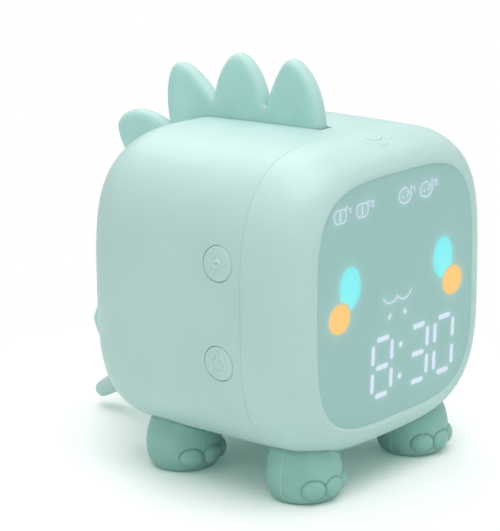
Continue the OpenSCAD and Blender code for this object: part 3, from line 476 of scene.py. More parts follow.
def turned(rows, sides, axis):
    """Closed form turned about axis 0, 1 or 2; each row is a radius and its place along the axis."""
    a = circle(sides)
    rings = np.zeros((len(rows), sides, 3))
    for ring, (radius, place) in zip(rings, rows):
        ring[:, (axis + 1) % 3] = radius * np.cos(a)
        ring[:, (axis + 2) % 3] = radius * np.sin(a)
        ring[:, axis] = place
    return rings.reshape(-1, 3), ring_faces(len(rows), sides, ends=True)


def prism(outline, low, high):
    """Closed form between depths low and high over an outline in x and z."""
    return np.r_[at_y(outline, low), at_y(outline, high)], ring_faces(2, len(outline), ends=True)


def moved(form, *offset):
    return form[0] + np.array(offset), form[1]


def joined(parts):
    """One list of points and faces from several."""
    points, faces, base = [], [], 0
    for p, f in parts:
        points.append(np.asarray(p, float))
        faces += [[i + base for i in face] for face in f]
        base += len(p)
    return np.concatenate(points), faces


def filled(clouds):
    """Triangles over loose points; the first cloud is the closed outline that bounds them."""
    count = len(clouds[0])
    edges = [(i, (i + 1) % count) for i in range(count)]
    points, _, triangles, origins, _, _ = delaunay_2d_cdt(
        [Vector(p) for p in np.concatenate(clouds)], edges, [], 1, 1e-5)
    return np.array([[v.x, v.y] for v in points]), np.array(triangles), origins


def new_object(name, mesh):
    obj = bpy.data.objects.new(name, mesh)
    bpy.context.scene.collection.objects.link(obj)
    return obj


def smooth(mesh, sharp):
    mesh.polygons.foreach_set("use_smooth", [True] * len(mesh.polygons))
    mesh.set_sharp_from_angle(angle=math.radians(sharp))
    mesh.update()


def build(name, points, faces, finish=None, sharp=40.0, attributes=None):
    """A mesh object from points in case millimetres, its faces turned outward."""
    mesh = bpy.data.meshes.new(name)
    mesh.from_pydata(to_frame(points).tolist(), [], [tuple(int(i) for i in f) for f in faces])
    for key, values in (attributes or {}).items():
        kind, field = ("FLOAT_COLOR", "color") if values.ndim == 2 else ("FLOAT", "value")
        layer = mesh.attributes.new(key, kind, "POINT")
        layer.data.foreach_set(field, values.astype(np.float32).ravel())
    work = bmesh.new()
    work.from_mesh(mesh)
    bmesh.ops.recalc_face_normals(work, faces=work.faces)
    work.to_mesh(mesh)
    work.free()
    smooth(mesh, sharp)
    if finish:
        mesh.materials.append(bpy.data.materials[finish])
    return new_object(name, mesh)


def settle(obj, body, slot, *nodes):
    """The piece rides on a body and stands for its solid nodes, which it hides; slot is not used."""
    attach(obj, body)
    if nodes:
        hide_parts(*nodes)


def made_plain(obj, sharp):
    """Turns what the object's modifiers give into its plain mesh."""
    old = obj.data
    mesh = bpy.data.meshes.new_from_object(obj.evaluated_get(bpy.context.evaluated_depsgraph_get()))
    if not len(mesh.polygons):
        raise RuntimeError(f"{obj.name} came out empty")
    obj.modifiers.clear()
    obj.data = mesh
    bpy.data.meshes.remove(old)
    smooth(mesh, sharp)


def carve(obj, cutter, sharp=40.0):
    """Cuts the cutter out of the object and removes the cutter."""
    modifier = obj.modifiers.new("cut", "BOOLEAN")
    modifier.operation = "DIFFERENCE"
    modifier.solver = "EXACT"
    modifier.object = cutter
    made_plain(obj, sharp)
    bpy.data.objects.remove(cutter)


# ---------------------------------------------------------------- repeated pieces by Geometry Nodes
class Grower:
    """Builds a Geometry Nodes tree with named inputs, and turns its result into a plain mesh."""

    def __init__(self, name, **inputs):
        self.tree = bpy.data.node_groups.new(name, "GeometryNodeTree")
        face = self.tree.interface
        face.new_socket("Geometry", in_out="INPUT", socket_type="NodeSocketGeometry")
        for key, kind in inputs.items():
            face.new_socket(key, in_out="INPUT", socket_type="NodeSocket" + kind)
        face.new_socket("Finish", in_out="INPUT", socket_type="NodeSocketMaterial")
        face.new_socket("Geometry", in_out="OUTPUT", socket_type="NodeSocketGeometry")
        self.start = self.tree.nodes.new("NodeGroupInput")
        self.end = self.tree.nodes.new("NodeGroupOutput")

    def given(self, name):
        return self.start.outputs[name]

    def node(self, kind, settings=None, output=0, **inputs):
        """Adds a node; an input named _0 or _1 is found by its number."""
        made = self.tree.nodes.new("GeometryNode" + kind if kind != "Math" else "ShaderNodeMath")
        for key, value in (settings or {}).items():
            setattr(made, key, value)
        for key, value in inputs.items():
            socket = made.inputs[int(key[1:])] if key[0] == "_" else made.inputs[key]
            for one in value if isinstance(value, list) else [value]:
                if isinstance(one, bpy.types.NodeSocket):
                    self.tree.links.new(one, socket)
                else:
                    socket.default_value = one
        return made.outputs[output]

    def times(self, first, second):
        return self.node("Math", {"operation": "MULTIPLY"}, _0=first, _1=second)

    def finish_with(self, geometry):
        real = self.node("RealizeInstances", Geometry=geometry)
        painted = self.node("SetMaterial", Geometry=real, Material=self.given("Finish"))
        self.tree.links.new(painted, self.end.inputs[0])
        return self

    def grow(self, name, spots, finish, sharp, turns=None, **values):
        """A plain mesh object grown from spots in case millimetres, each with its turn about X, Y and Z."""
        mesh = bpy.data.meshes.new(name)
        mesh.from_pydata(to_frame(spots).tolist(), [], [])
        layer = mesh.attributes.new("turn", "FLOAT_VECTOR", "POINT")
        layer.data.foreach_set("vector", np.array(turns or np.zeros((len(spots), 3)), np.float32).ravel())
        obj = new_object(name, mesh)
        modifier = obj.modifiers.new("grow", "NODES")
        modifier.node_group = self.tree
        values["Finish"] = bpy.data.materials[finish]
        for item in self.tree.interface.items_tree:
            if item.item_type == "SOCKET" and item.in_out == "INPUT" and item.name in values:
                modifier[item.identifier] = values[item.name]
        obj.update_tag()
        made_plain(obj, sharp)
        return obj


def scatter(name, part, spots, finish, sharp=50.0, turns=None):
    """Copies of a part on all spots as one mesh; the part, made round the frame's origin, is removed."""
    g = Grower(name + "_copies", Part="Object", Size="Float")
    source = g.node("ObjectInfo", {"transform_space": "ORIGINAL"}, "Geometry", Object=g.given("Part"))
    turn = g.node("InputNamedAttribute", {"data_type": "FLOAT_VECTOR"}, Name="turn")
    dots = g.node("MeshToPoints", Mesh=g.given("Geometry"))
    copies = g.node("InstanceOnPoints", Points=dots, Instance=source, Rotation=turn, Scale=g.given("Size"))
    obj = g.finish_with(copies).grow(name, spots, finish, sharp, turns, Part=part, Size=1.0)
    bpy.data.objects.remove(part)
    return obj


def grille_tools():
    """Tree that sets round tools on rings of 6, 12 and 18, with one in the middle."""
    g = Grower("grille_tools", Spacing="Float", Hole="Float", Depth="Float")
    rings = [g.node("MeshLine", Count=1)]
    for k in (1, 2, 3):
        rings.append(g.node("MeshCircle", Vertices=6 * k, Radius=g.times(g.given("Spacing"), float(k))))
    radius = g.times(g.given("Hole"), 0.5)
    tool = g.node("MeshCylinder", Vertices=20, Radius=radius, Depth=g.given("Depth"))
    dots = g.node("MeshToPoints", Mesh=g.node("JoinGeometry", Geometry=rings))
    spots = g.node("RealizeInstances", Geometry=g.node("InstanceOnPoints", Points=dots, Instance=tool))
    seeds = g.node("MeshToPoints", Mesh=g.given("Geometry"))
    return g.finish_with(g.node("InstanceOnPoints", Points=seeds, Instance=spots))


def part_object(name, form, finish=None, sharp=40.0):
    """A part round the frame's origin, to be placed by a tree."""
    points, faces = moved(form, 0.0, -CASE_Y, -CASE_Z)
    return build(name, points, faces, finish, sharp)


# ---------------------------------------------------------------- case form
def oval(half_w, half_h, power=2.0, count=288):
    """Evenly spaced points of a squared oval, in x and z."""
    t = np.linspace(0, 2 * math.pi, 16001)
    c, s = np.cos(t), np.sin(t)
    x = half_w * np.sign(c) * np.abs(c) ** (2 / power)
    z = half_h * np.sign(s) * np.abs(s) ** (2 / power)
    run = np.r_[0, np.cumsum(np.hypot(np.diff(x), np.diff(z)))]
    u = np.linspace(0, run[-1], count, endpoint=False)
    return np.c_[np.interp(u, run, x), np.interp(u, run, z)]


def oval_out(points, half_w, half_h, power):
    """Outward directions of a squared oval at its points."""
    half = np.array([half_w, half_h])
    return unit(np.sign(points) * np.abs(points / half) ** (power - 1) / half)


def oval_at(direction, half_w, half_h, power):
    """Points of a squared oval along given directions from its middle."""
    way = unit(direction)
    reach = (np.abs(way[:, 0] / half_w) ** power + np.abs(way[:, 1] / half_h) ** power) ** (-1 / power)
    return way * reach[:, None]


class CaseForm:
    """The outside of the case, shared by both shells and by what sits on them."""

    def __init__(self):
        s = bpy.context.scene.clock_case
        self.half_w, self.half_h, self.power = mm(s.width) / 2, mm(s.height) / 2, s.squareness
        self.edge, self.seam, self.crown = mm(s.edge), mm(s.seam), mm(s.crown)
        self.wall, self.lip = mm(s.wall), mm(s.lip)
        self.round_y = HALF_D - self.edge
        self.points = oval(self.half_w, self.half_h, self.power)
        self.out = oval_out(self.points, self.half_w, self.half_h, self.power)

    def pull(self, y):
        return self.crown * (y / HALF_D) ** 2

    def ring(self, inset, y):
        """Outline pulled in by inset, at depth y; its top is flatter beside the crest."""
        flat = self.points - (inset + self.pull(y)) * self.out
        drop = np.clip(0.9 + 0.02 * y, 0, 1.46) * float(eased(y, -40, -20))
        high = np.clip(flat[:, 1] / self.half_h, 0, 1) ** 3
        flat[:, 1] -= drop * high * (1 - eased(np.abs(flat[:, 0]), 4, 34))
        return at_y(flat, y)

    def side_x(self, y, z):
        """Reach of the flat side at depth y and height z."""
        return self.half_w * (1 - np.abs(z / self.half_h) ** self.power) ** (1 / self.power) - self.pull(y)

    def under_z(self, x, y):
        """How far the underside lies below the middle at x and y."""
        inset = self.edge - np.sqrt(self.edge ** 2 - np.clip(np.abs(y) - self.round_y, 0, self.edge) ** 2)
        share = np.abs(x / (self.half_w - inset)) ** self.power
        return (self.half_h - inset) * (1 - share) ** (1 / self.power)

    def seam_rings(self, way):
        """Rings of the seam's edge from the inner wall outward; way is -1 in front and 1 behind."""
        y = self.seam + 0.03 * way
        steps = ((self.wall, 0), (0.12, 0), (0.04, 0.04), (0.0, 0.2))
        return [self.ring(inset, y + way * back) for inset, back in steps]

    def fillet(self, way, start, end, step=3.5, radius=None):
        """Rings over the rounded edge; way is -1 at the face and 1 at the back. Angles in degrees."""
        radius = radius or self.edge
        angles = np.radians(np.linspace(start, end, max(2, int(abs(end - start) / step) + 1)))
        return [self.ring(self.edge - radius * math.cos(a), way * (self.round_y + radius * math.sin(a)))
                for a in angles]


def face_sizes():
    """Half width, half height, squareness and front of the face panel."""
    s = bpy.context.scene.clock_face
    return mm(s.width) / 2, mm(s.height) / 2, s.squareness, mm(s.front)


def front_shell_form(form):
    """Front shell: seam edge, side, rounded edge, rim round the face, seat of the panel, inner wall."""
    face_w, face_h, power, front = face_sizes()
    gap, seat_depth, ledge, ledge_depth = 0.02, 1.8, 2.2, 1.5
    rim = form.lip
    rings = form.seam_rings(-1)
    rings += [form.ring(0.0, y) for y in np.linspace(form.seam - 1.23, -form.round_y + 0.6, 6)]
    # angle at which the rounded edge hands over to the rim
    end = math.acos(1 - (form.half_w - face_w - gap - rim) / form.edge)
    sweep = form.fillet(-1, 0, math.degrees(end))
    last = sweep[-1][:, [0, 2]]
    hole = oval_at(last, face_w + gap, face_h + gap, power)
    out = oval_out(hole, face_w, face_h, power)
    target = hole + rim * out
    drift = target - last
    for k, ring in enumerate(sweep):
        ring[:, [0, 2]] += drift * eased(k / (len(sweep) - 1), 0.35, 1)
    rings += sweep
    # the rim runs over a low crest and slopes down to the panel
    start = np.array([0.0, sweep[-1][0, 1]])
    stop = np.array([-rim, front])
    lean = np.array([-math.sin(end), -math.cos(end)])
    slope = bezier(start, start + 0.4 * rim * lean, stop + (0.35 * rim, -0.3 * rim), stop, 12)
    rings += [at_y(target + inset * out, y) for inset, y in slope]
    seat = front + seat_depth
    back = seat + ledge_depth
    rings += [at_y(hole - inset * out, y) for inset, y in ((0, seat), (ledge, seat), (ledge, back))]
    inner = form.edge - form.wall
    rings += form.fillet(-1, math.degrees(math.asin((-back - form.round_y) / inner)), 0, 6, inner)
    return np.concatenate(rings), ring_faces(len(rings), len(form.points), closed=True)


def rear_shell_form(form):
    """Rear shell: seam edge, side, rounded edge, back, and its inner wall."""

    def cap(ring, dome=0.25):
        made = []
        for share in np.linspace(1, 0, 15)[1:-1]:
            flat = ring * (share, 0, share)
            flat[:, 1] = ring[0, 1] + dome * (1 - share * share)
            made.append(flat)
        return made

    outer = form.seam_rings(1)
    outer += [form.ring(0.0, y) for y in np.linspace(form.seam + 1.23, form.round_y - 0.6, 30)]
    outer += form.fillet(1, 0, 88.5)
    outer += cap(outer[-1])
    inner = form.fillet(1, 88, 0, 6, form.edge - form.wall)
    inner = cap(inner[0])[::-1] + inner
    inner += [form.ring(form.wall, y) for y in np.linspace(form.round_y - 2, form.seam + 2.03, 6)]
    # the inner wall runs on into the seam's first ring, and each cap ends in a pole
    start, end = ([0, ring[0, 1] + 0.01, 0] for ring in (inner[0], outer[-1]))
    return with_poles(inner + outer, start, end)


# ---------------------------------------------------------------- crest and tail form
# the base line, in y and z: level on top, round the corner, down the back, then a wide sweep outward
FRONT_Y, TOP_Z = -14.2, 48.3
CORNER, CORNER_R = (22.8, 19.3), 29.0
BACK_Y = 51.8
SWEEP, SWEEP_R, SWEEP_ANGLE = (113.8, 2.3), 62.0, 55.0
# runs along it from the crest's front end
S_CORNER = CORNER[0] - FRONT_Y
S_BACK = S_CORNER + CORNER_R * math.pi / 2
S_SWEEP = S_BACK + CORNER[1] - SWEEP[1]
S_END = S_SWEEP + SWEEP_R * math.radians(SWEEP_ANGLE)
S_FLANGE = (68.0, 112.0)
# depth of the crest's root below it, run of the tail past it and radius of the tail's tip
ROOT, TAIL_END, TIP_R = -3.8, 4.6, 2.7


def base_angle(s):
    """Direction of the crest's base line below +Y, in radians."""
    if s < S_SWEEP:
        return min(max(s - S_CORNER, 0) / CORNER_R, math.pi / 2)
    return math.pi / 2 - (min(s, S_END) - S_SWEEP) / SWEEP_R


def base_point(s, h=0.0):
    """Point y, z of the base line at run s, raised by h."""
    a = base_angle(s)
    out = np.array([math.sin(a), math.cos(a)])
    if s < S_CORNER:
        start = np.array([FRONT_Y + s, TOP_Z])
    elif s < S_BACK:
        start = np.array(CORNER) + CORNER_R * out
    elif s < S_SWEEP:
        start = np.array([BACK_Y, CORNER[1] - (s - S_BACK)])
    else:
        start = np.array(SWEEP) - SWEEP_R * out + max(s - S_END, 0) * np.array([math.cos(a), -math.sin(a)])
    return start + h * out


def base_run(start, end, h=0.0):
    count = max(2, int(abs(end - start)) + 1)
    return [base_point(s, h) for s in np.linspace(start, end, count)]


# run and height of the valleys and points; swell, roundness of the tip and fall of each spine
VALLEYS = ((0, 0), (22, 4), (41.7, 4.5), (61.1, 3.5), (80.2, 7.1), (103, 6.3), (130.5, 7), (152.5, 0))
POINTS = ((12.4, 19.7), (33.3, 19.5), (50.5, 19), (70.3, 22.6), (90.2, 25), (120.4, 23.9), (147.9, 19.4))
FULLNESS = ((0.58, 4, 0.02), (0.43, 4.1, 0.35), (0.06, 5.3, 0.28), (0.62, 5, 0.25), (0.34, 4.9, 0.46),
            (0.37, 2.6, 0.04), (0.92, 3.3, 0.2))


def eased_valleys(line, reach, step=0.2):
    """The open outline with its points near each inner valley drawn towards their neighbours' middle."""
    run = np.r_[0, np.cumsum(np.linalg.norm(np.diff(line, axis=0), axis=1))]
    fine = np.arange(0, run[-1], step)
    fine = np.c_[np.interp(fine, run, line[:, 0]), np.interp(fine, run, line[:, 1])]
    width = int(reach / step)
    kernel = np.hanning(2 * width + 3)[1:-1]
    kernel = kernel / kernel.sum()
    padded = np.r_[np.repeat(fine[:1], width, axis=0), fine, np.repeat(fine[-1:], width, axis=0)]
    soft = np.c_[np.convolve(padded[:, 0], kernel, "valid"), np.convolve(padded[:, 1], kernel, "valid")]
    for valley in VALLEYS[1:-1]:
        gap = np.linalg.norm(fine - base_point(*valley), axis=1)
        share = (1 - eased(gap, reach, 2 * reach))[:, None]
        fine = fine * (1 - share) + soft * share
    return np.r_[fine, line[-1:]]


def crest_outline():
    line = [base_point(*VALLEYS[0])]
    for left, right, point, (swell, tip, fall) in zip(VALLEYS, VALLEYS[1:], POINTS, FULLNESS):
        a, b, p = base_point(*left), base_point(*right), base_point(*point)
        up = unit(p - (a + b) / 2)
        across = np.array([up[1], -up[0]])
        line += bezier(a, a + np.linalg.norm(p - a) * swell * up, p - tip * across, p)
        line += bezier(p, p + tip * across, b + np.linalg.norm(p - b) * fall * up, b)
    line = eased_valleys(np.array(line), 0.9)
    return np.r_[line, base_run(0, VALLEYS[-1][0] + 2, ROOT)[::-1]]


def tail_outline():
    middle = base_point(S_END + TAIL_END, -TIP_R)
    under = math.radians(26)
    way = np.array([math.cos(under), -math.sin(under)])
    end = middle - TIP_R * np.array([math.sin(under), math.cos(under)])
    line = base_run(60, S_END + TAIL_END)
    start = 90 - math.degrees(base_angle(S_END))
    for a in np.radians(np.arange(start - 8, -90 - 26, -8)):
        line.append(middle + TIP_R * np.array([math.cos(a), math.sin(a)]))
    leave = np.array([HALF_D, -12.0])
    line += ([leave] + bezier(leave, leave - (0, 20), end - 22 * way, end))[::-1]
    line += [np.array([HALF_D - 3, -12.0]), np.array([HALF_D - 3, CORNER[1] + 12]), base_point(60, -5)]
    return np.array(line)


def evened(loop, step):
    """The closed outline with points about step apart, its sharp corners kept."""
    result = []
    keep = step
    for a, b in zip(loop, np.roll(loop, -1, axis=0)):
        gap = np.linalg.norm(b - a)
        keep += gap
        if keep >= step * 0.6:
            result.append(a)
            keep = 0.0
        extra = int(gap // step)
        result += [a + (b - a) * k / (extra + 1) for k in range(1, extra + 1)]
    return np.array(result)


def edge_distance(points, loop):
    """Distance from each point to the closed outline."""
    along = np.roll(loop, -1, axis=0) - loop
    size = np.maximum((along ** 2).sum(1), 1e-12)
    best = np.empty(len(points))
    block = 400
    for k in range(0, len(points), block):
        p = points[k:k + block, None, :] - loop[None]
        t = np.clip((p * along).sum(2) / size, 0, 1)
        best[k:k + block] = np.sqrt(((p - t[..., None] * along) ** 2).sum(2).min(1))
    return best


def within(points, loop):
    """True where a point is inside the outline."""
    inside = np.zeros(len(points), bool)
    x, y = points.T
    for (ax, ay), (bx, by) in zip(loop, np.roll(loop, -1, axis=0)):
        if ay != by:
            inside ^= ((ay > y) != (by > y)) & (x < (bx - ax) * (y - ay) / (by - ay) + ax)
    return inside


def grid_points(low, high, step):
    return np.array(np.meshgrid(*(np.arange(a, b, step) for a, b in zip(low, high)))).reshape(2, -1).T


def pillow(loop, half, edge, step=0.7, grid=1.6, taper=None):
    """Flat form cut to an outline in y and z, half thick each way, its edges rounded to radius edge."""
    x, y = loop.T
    if (x * np.roll(y, -1) - np.roll(x, -1) * y).sum() < 0:
        loop = loop[::-1]
    loop = evened(loop, step)
    along = unit(np.roll(loop, -1, axis=0) - np.roll(loop, 1, axis=0))
    inward = np.c_[-along[:, 1], along[:, 0]]
    clouds = [loop]
    for depth in edge * np.array([0.02, 0.08, 0.2, 0.38, 0.62, 0.98]):
        ring = loop + depth * inward
        clouds.append(ring[(edge_distance(ring, loop) > 0.97 * depth) & within(ring, loop)])
    field = grid_points(loop.min(0), loop.max(0), grid)
    field = field[within(field, loop)]
    clouds.append(field[edge_distance(field, loop) > edge + 0.3])
    flat, triangles, _ = filled(clouds)
    depth = np.minimum(edge_distance(flat, loop), edge)
    rise = half - edge + np.sqrt(np.maximum(edge ** 2 - (edge - depth) ** 2, 0))
    if taper is not None:
        rise = rise * taper(flat)
    n = len(flat)
    points = np.r_[np.c_[rise, flat], np.c_[-rise, flat]]
    faces = triangles.tolist() + (triangles[:, ::-1] + n).tolist()
    pairs = np.concatenate([triangles[:, [0, 1]], triangles[:, [1, 2]], triangles[:, [2, 0]]])
    known = {tuple(p) for p in pairs.tolist()}
    faces += [[a, b, b + n, a + n][::-1] for a, b in known if (b, a) not in known]
    return points, faces, 1 - np.r_[depth, depth] / edge


def band(start, end, low, high, half, step=1.5, chamfer=0.3):
    """A strip that follows the base line, from run start to end."""
    section = [(-half, low), (half, low), (half, high - chamfer), (half - chamfer, high),
               (chamfer - half, high), (-half, high - chamfer)]
    count = int((end - start) / step) + 2
    points = [(x, *base_point(s, h)) for s in np.linspace(start, end, count) for x, h in section]
    return np.array(points), ring_faces(count, len(section), ends=True)


# ---------------------------------------------------------------- face drawing
# lit bars of each digit: upper, middle, lower, upper left, upper right, lower left, lower right
BARS = {0: "1011111", 1: "0000101", 2: "1110110", 3: "1110101", 4: "0101101", 5: "1111001", 6: "1111011",
        7: "1000101", 8: "1111111", 9: "1111101"}
DIGIT_W, DIGIT_H, LEAN = 9.5, 17.5, math.radians(3)
DIGIT_Z, COLON_X = -21.0, 1.5
DIGIT_X = (COLON_X - 22.7, COLON_X - 9.2, COLON_X + 9.2, COLON_X + 22.7)
EYE, EYE_HALF = (23.6, 7.0), (5.1, 6.4)
CHEEK, CHEEK_HALF = (28.7, -1.4), (5.1, 4.55)
ALARMS, ALARM_HALF = ((-28.3, 29.5), (-17.6, 29.5)), (2.75, 2.0)
SLEEPERS, SLEEPER_HALF = ((3.6, 30.1), (14.5, 30.1)), (3.1, 2.35)


def bar_places(hour, minute):
    """x, z and turn of each lit bar; the first digit is blank under ten o'clock."""
    w, h = DIGIT_W / 2, DIGIT_H / 2
    spots = [(0, h, 0), (0, 0, 0), (0, -h, 0), (-w, h / 2, 1), (w, h / 2, 1), (-w, -h / 2, 1), (w, -h / 2, 1)]
    places = []
    for x, digit in zip(DIGIT_X, (hour // 10 or None, hour % 10, minute // 10, minute % 10)):
        for (dx, dz, upright), lit in zip(spots, BARS.get(digit, "")):
            if lit == "1":
                turn = math.pi / 2 - LEAN if upright else 0.0
                places.append((x + dx + dz * math.tan(LEAN), DIGIT_Z + dz, turn))
    return places


def bead(path, width, height, sunk=0.03, closed=False, tip=1.0):
    """A low rounded line along a path in x and z, standing out towards -Y; tip is how far its ends reach."""
    path = np.asarray(path, float)
    half = width / 2
    across = np.linspace(-1, 1, 7)
    if closed:
        along = unit(np.roll(path, -1, axis=0) - np.roll(path, 1, axis=0))
    else:
        along = unit(np.gradient(path, axis=0))
    rows = [(p, a, 1.0) for p, a in zip(path, along)]
    if not closed:
        turns = np.radians((25, 50, 72, 84))
        ends = list(zip(half * tip * np.sin(turns), np.cos(turns) ** (1 / tip)))
        head = [(path[0] - reach * along[0], along[0], share) for reach, share in ends[::-1]]
        rows = head + rows + [(path[-1] + reach * along[-1], along[-1], share) for reach, share in ends]
    # each section runs over the line from side to side and back below it
    places = [(u, -height * math.sqrt(1 - u * u), 1) for u in across] + [(1, sunk, 0), (-1, sunk, 0)]
    points = []
    for p, (dx, dz), share in rows:
        for u, y, lifted in places:
            points.append((p[0] - u * half * share * dz, y * share ** 0.5 if lifted else y,
                           p[1] + u * half * share * dx))
    return np.array(points), ring_faces(len(rows), len(places), closed, not closed)


def beads(lines, height, sunk, lay):
    """Rounded lines as one form; each line is a path, a width and whether it is closed."""
    parts = []
    for path, width, closed in lines:
        points, faces = bead(path, width, height, sunk, closed)
        parts.append((lay(points), faces))
    return joined(parts)


def stroke(*path):
    return np.array(path, float)


def small_number(index, x, z):
    """The small 1 or 2 beside a symbol."""
    if index == 0:
        path = stroke((x - 0.4, z + 0.35), (x, z + 0.7), (x, z - 0.75))
    else:
        path = np.r_[arc(x, z + 0.3, 0.62, 0.5, 160, -30, 10), [(x - 0.65, z - 0.75), (x + 0.7, z - 0.75)]]
    return path, 0.38, False


def rounded_box(x, z, half_w, half_h):
    """Closed outline of a little clock: flat on top, rounder and narrower below."""
    points = oval(half_w, half_h, 4.2, 48)
    points[:, 0] *= 1 - 0.1 * eased(-points[:, 1], 0, half_h)
    return points + (x, z)


def face_lines():
    """Fine lines of the face: smile, marks, colon and symbols, as (path, width, closed)."""
    lines = []
    for a in (-1, 1):
        lines.append((arc(a * 3.4, 1.5, 4.0, 3.4, 270 - a * 59, 270 + a * 67), 0.38, False))
        lines.append((stroke((a * 4.1, -6.4), (a * 3.65, -5.75)), 1.1, False))
        x, z = COLON_X + a * 5 * math.tan(LEAN), DIGIT_Z + a * 4.95
        lines.append((stroke((x - 0.05, z), (x + 0.05, z)), 1.75, False))
    for k, (x, z) in enumerate(ALARMS):
        lines.append((rounded_box(x, z, *ALARM_HALF), 0.36, True))
        lines.append((stroke((x, z + 1.05), (x, z - 1.15)), 0.6, False))
        lines.append((oval(0.5, 0.5, count=16) + (x + 2.9, z + 2.0), 0.3, True))
        lines.append(small_number(k, x + 4.9, z + 1.2))
    for k, (x, z) in enumerate(SLEEPERS):
        lines.append((arc(x, z, *SLEEPER_HALF, 75, 385, 48), 0.4, False))
        for dx in (-1.15, 1.15):
            lines.append((stroke((x + dx - 0.12, z - 0.25), (x + dx + 0.12, z - 0.25)), 0.62, False))
        for dx, dz, size in ((1.8, 0.75, 0.62), (3.15, 2.05, 0.5)):
            zed = stroke((-1, 1), (1, 1), (-1, -1), (1, -1)) * (size * 1.15, size * 0.8)
            lines.append((zed + (x + dx, z + dz), 0.34, False))
        lines.append(small_number(k, x + 4.9, z + 1.35))
    return lines


def lamp_rings():
    """Points close to the edges of the eyes and cheeks, so that their light ends cleanly."""
    rings = []
    for (x, z), half in ((EYE, EYE_HALF), (CHEEK, CHEEK_HALF)):
        for reach in (-0.5, -0.16, 0.0, 0.16, 0.5):
            ring = oval(half[0] + reach, half[1] + reach, count=110)
            rings += [ring + (a * x, z) for a in (-1, 1)]
    return rings


def oval_reach(x, z, middle, half):
    """Distance outside an oval near its edge, negative inside, and its share of the way from the middle."""
    dx, dz = np.abs(x) - middle[0], z - middle[1]
    q = np.hypot(dx / half[0], dz / half[1])
    slope = np.hypot(dx / half[0] ** 2, dz / half[1] ** 2)
    return (q - 1) / np.maximum(slope / np.maximum(q, 1e-6), 1e-6), q


def line_distance(flat, hour, minute):
    """Distance from each point of the face to the nearest lit bar or line."""
    x, z = flat.T
    near = np.full(len(flat), 1e9)
    for sx, sz, turn in bar_places(hour, minute):
        ux, uz = math.cos(turn), math.sin(turn)
        t = np.clip((x - sx) * ux + (z - sz) * uz, -2.2, 2.2)
        near = np.minimum(near, np.hypot(x - sx - t * ux, z - sz - t * uz) - 0.8)
    for path, width, closed in face_lines():
        some = ((flat > path.min(0) - 3) & (flat < path.max(0) + 3)).all(1)
        loop = path if closed else np.r_[path, path[-2:0:-1]]
        near[some] = np.minimum(near[some], edge_distance(flat[some], loop) - width / 2)
    return np.maximum(near, 0)


def face_glow(flat, colours, hour, minute):
    """Light that comes through the panel at each point: colour, and how much of the point it covers."""
    x, z = flat.T
    eyes, cheeks = np.array(colours.eyes), np.array(colours.cheeks)
    cheek_far, cheek_q = oval_reach(x, z, CHEEK, CHEEK_HALF)
    eye_far, eye_q = oval_reach(x, z, EYE, EYE_HALF)
    eye = (1 - eased(eye_far, -0.2, 0.2)) * eased(cheek_far, 0.25, 0.6)
    cheek = 1 - eased(cheek_far, -0.2, 0.2)
    halo = 0.26 * np.exp(-np.maximum(eye_far, 0) / 1.4) * (1 - eye) * eased(cheek_far, 0, 0.9)
    warm = 0.15 * np.exp(-np.maximum(cheek_far, 0) / 1.2) * (1 - cheek)
    near = line_distance(flat, hour, minute)
    pale = 0.10 * np.exp(-near / 0.5) + 0.035 * np.exp(-near / 2.0)
    for places, half in ((ALARMS, ALARM_HALF), (SLEEPERS, SLEEPER_HALF)):
        for sx, sz in places:
            inside = 1 - eased(np.hypot((x - sx) / half[0], (z - sz) / half[1]), 0.8, 1.15)
            pale = np.maximum(pale, 0.09 * inside)
    pale *= 1 - np.maximum(eye, cheek)
    # the lamps are a little weaker towards their edges
    eye_lit = eye * (1 - 0.06 * eased(eye_q, 0.5, 0.95))
    cheek_lit = cheek * (1 - 0.05 * eased(cheek_q, 0.5, 0.95))
    own = 0.9 * np.array(UNLIT_LAMP)
    light = np.outer(eye_lit, eyes - own) + np.outer(cheek_lit, cheeks - own)
    light += np.outer(halo, eyes - 0.7 * np.array(colours.panel)) + np.outer(warm, (0.9, 0.45, 0.1))
    light += np.outer(pale, (0.60, 0.50, 0.92))
    return np.c_[np.clip(light, 0, 1), np.clip(eye + cheek, 0, 1)]


def panel_form(colours, hour, minute):
    """Face panel with the light that shows through it."""
    half_w, half_h, power, front = face_sizes()
    size, margin = 256, 1.7
    points = oval(half_w, half_h, power, size)
    out = oval_out(points, half_w, half_h, power)
    field = grid_points((-40, -40), (40, 40), 0.55)
    half = np.array([half_w - margin, half_h - margin])
    inside = (np.abs(field / half) ** power).sum(1) < 1
    clouds = [points - inset * out for inset in (0.06, 0.5, 1.1)] + lamp_rings() + [field[inside]]
    flat, triangles, origins = filled(clouds)
    found = {i: k for k, group in enumerate(origins) for i in group}
    steps = ((0.03, 0.01), (0.01, 0.03), (0.0, 0.06), (0.0, 1.75))
    walls = [at_y(points - inset * out, front + y) for inset, y in steps]
    solid = np.concatenate([at_y(flat, front)] + walls)
    rows = [np.array([found[i] for i in range(size)])]
    rows += [len(flat) + size * k + np.arange(size) for k in range(len(steps))]
    faces = triangles.tolist() + [rows[-1].tolist()]
    for low, high in zip(rows, rows[1:]):
        faces += np.c_[low, np.roll(low, -1), np.roll(high, -1), high].tolist()
    return solid, faces, face_glow(solid[:, [0, 2]], colours, hour, minute)


# ---------------------------------------------------------------- boots and buttons
BOOT_R, BOOT_NECK, BOOT_TOP = 11.6, (9.9, 15.5), 24.0
BOOT_PROFILE = np.array(
    [(8.3, 0.0)] + bezier((8.3, 0.0), (9.9, 0.0), (BOOT_R, 2.6), (BOOT_R, 6.4), 30)
    + bezier((BOOT_R, 6.4), (BOOT_R, 9.6), (11.3, 12.0), BOOT_NECK, 26)
    + [(BOOT_NECK[0] - (z - BOOT_NECK[1]) * 0.25, z) for z in np.linspace(16.5, BOOT_TOP, 5)]
)
TOE_ANGLES, TOE_HALF, TOE_Z = (-37, 0, 37), (3.75, 2.95), 5.2
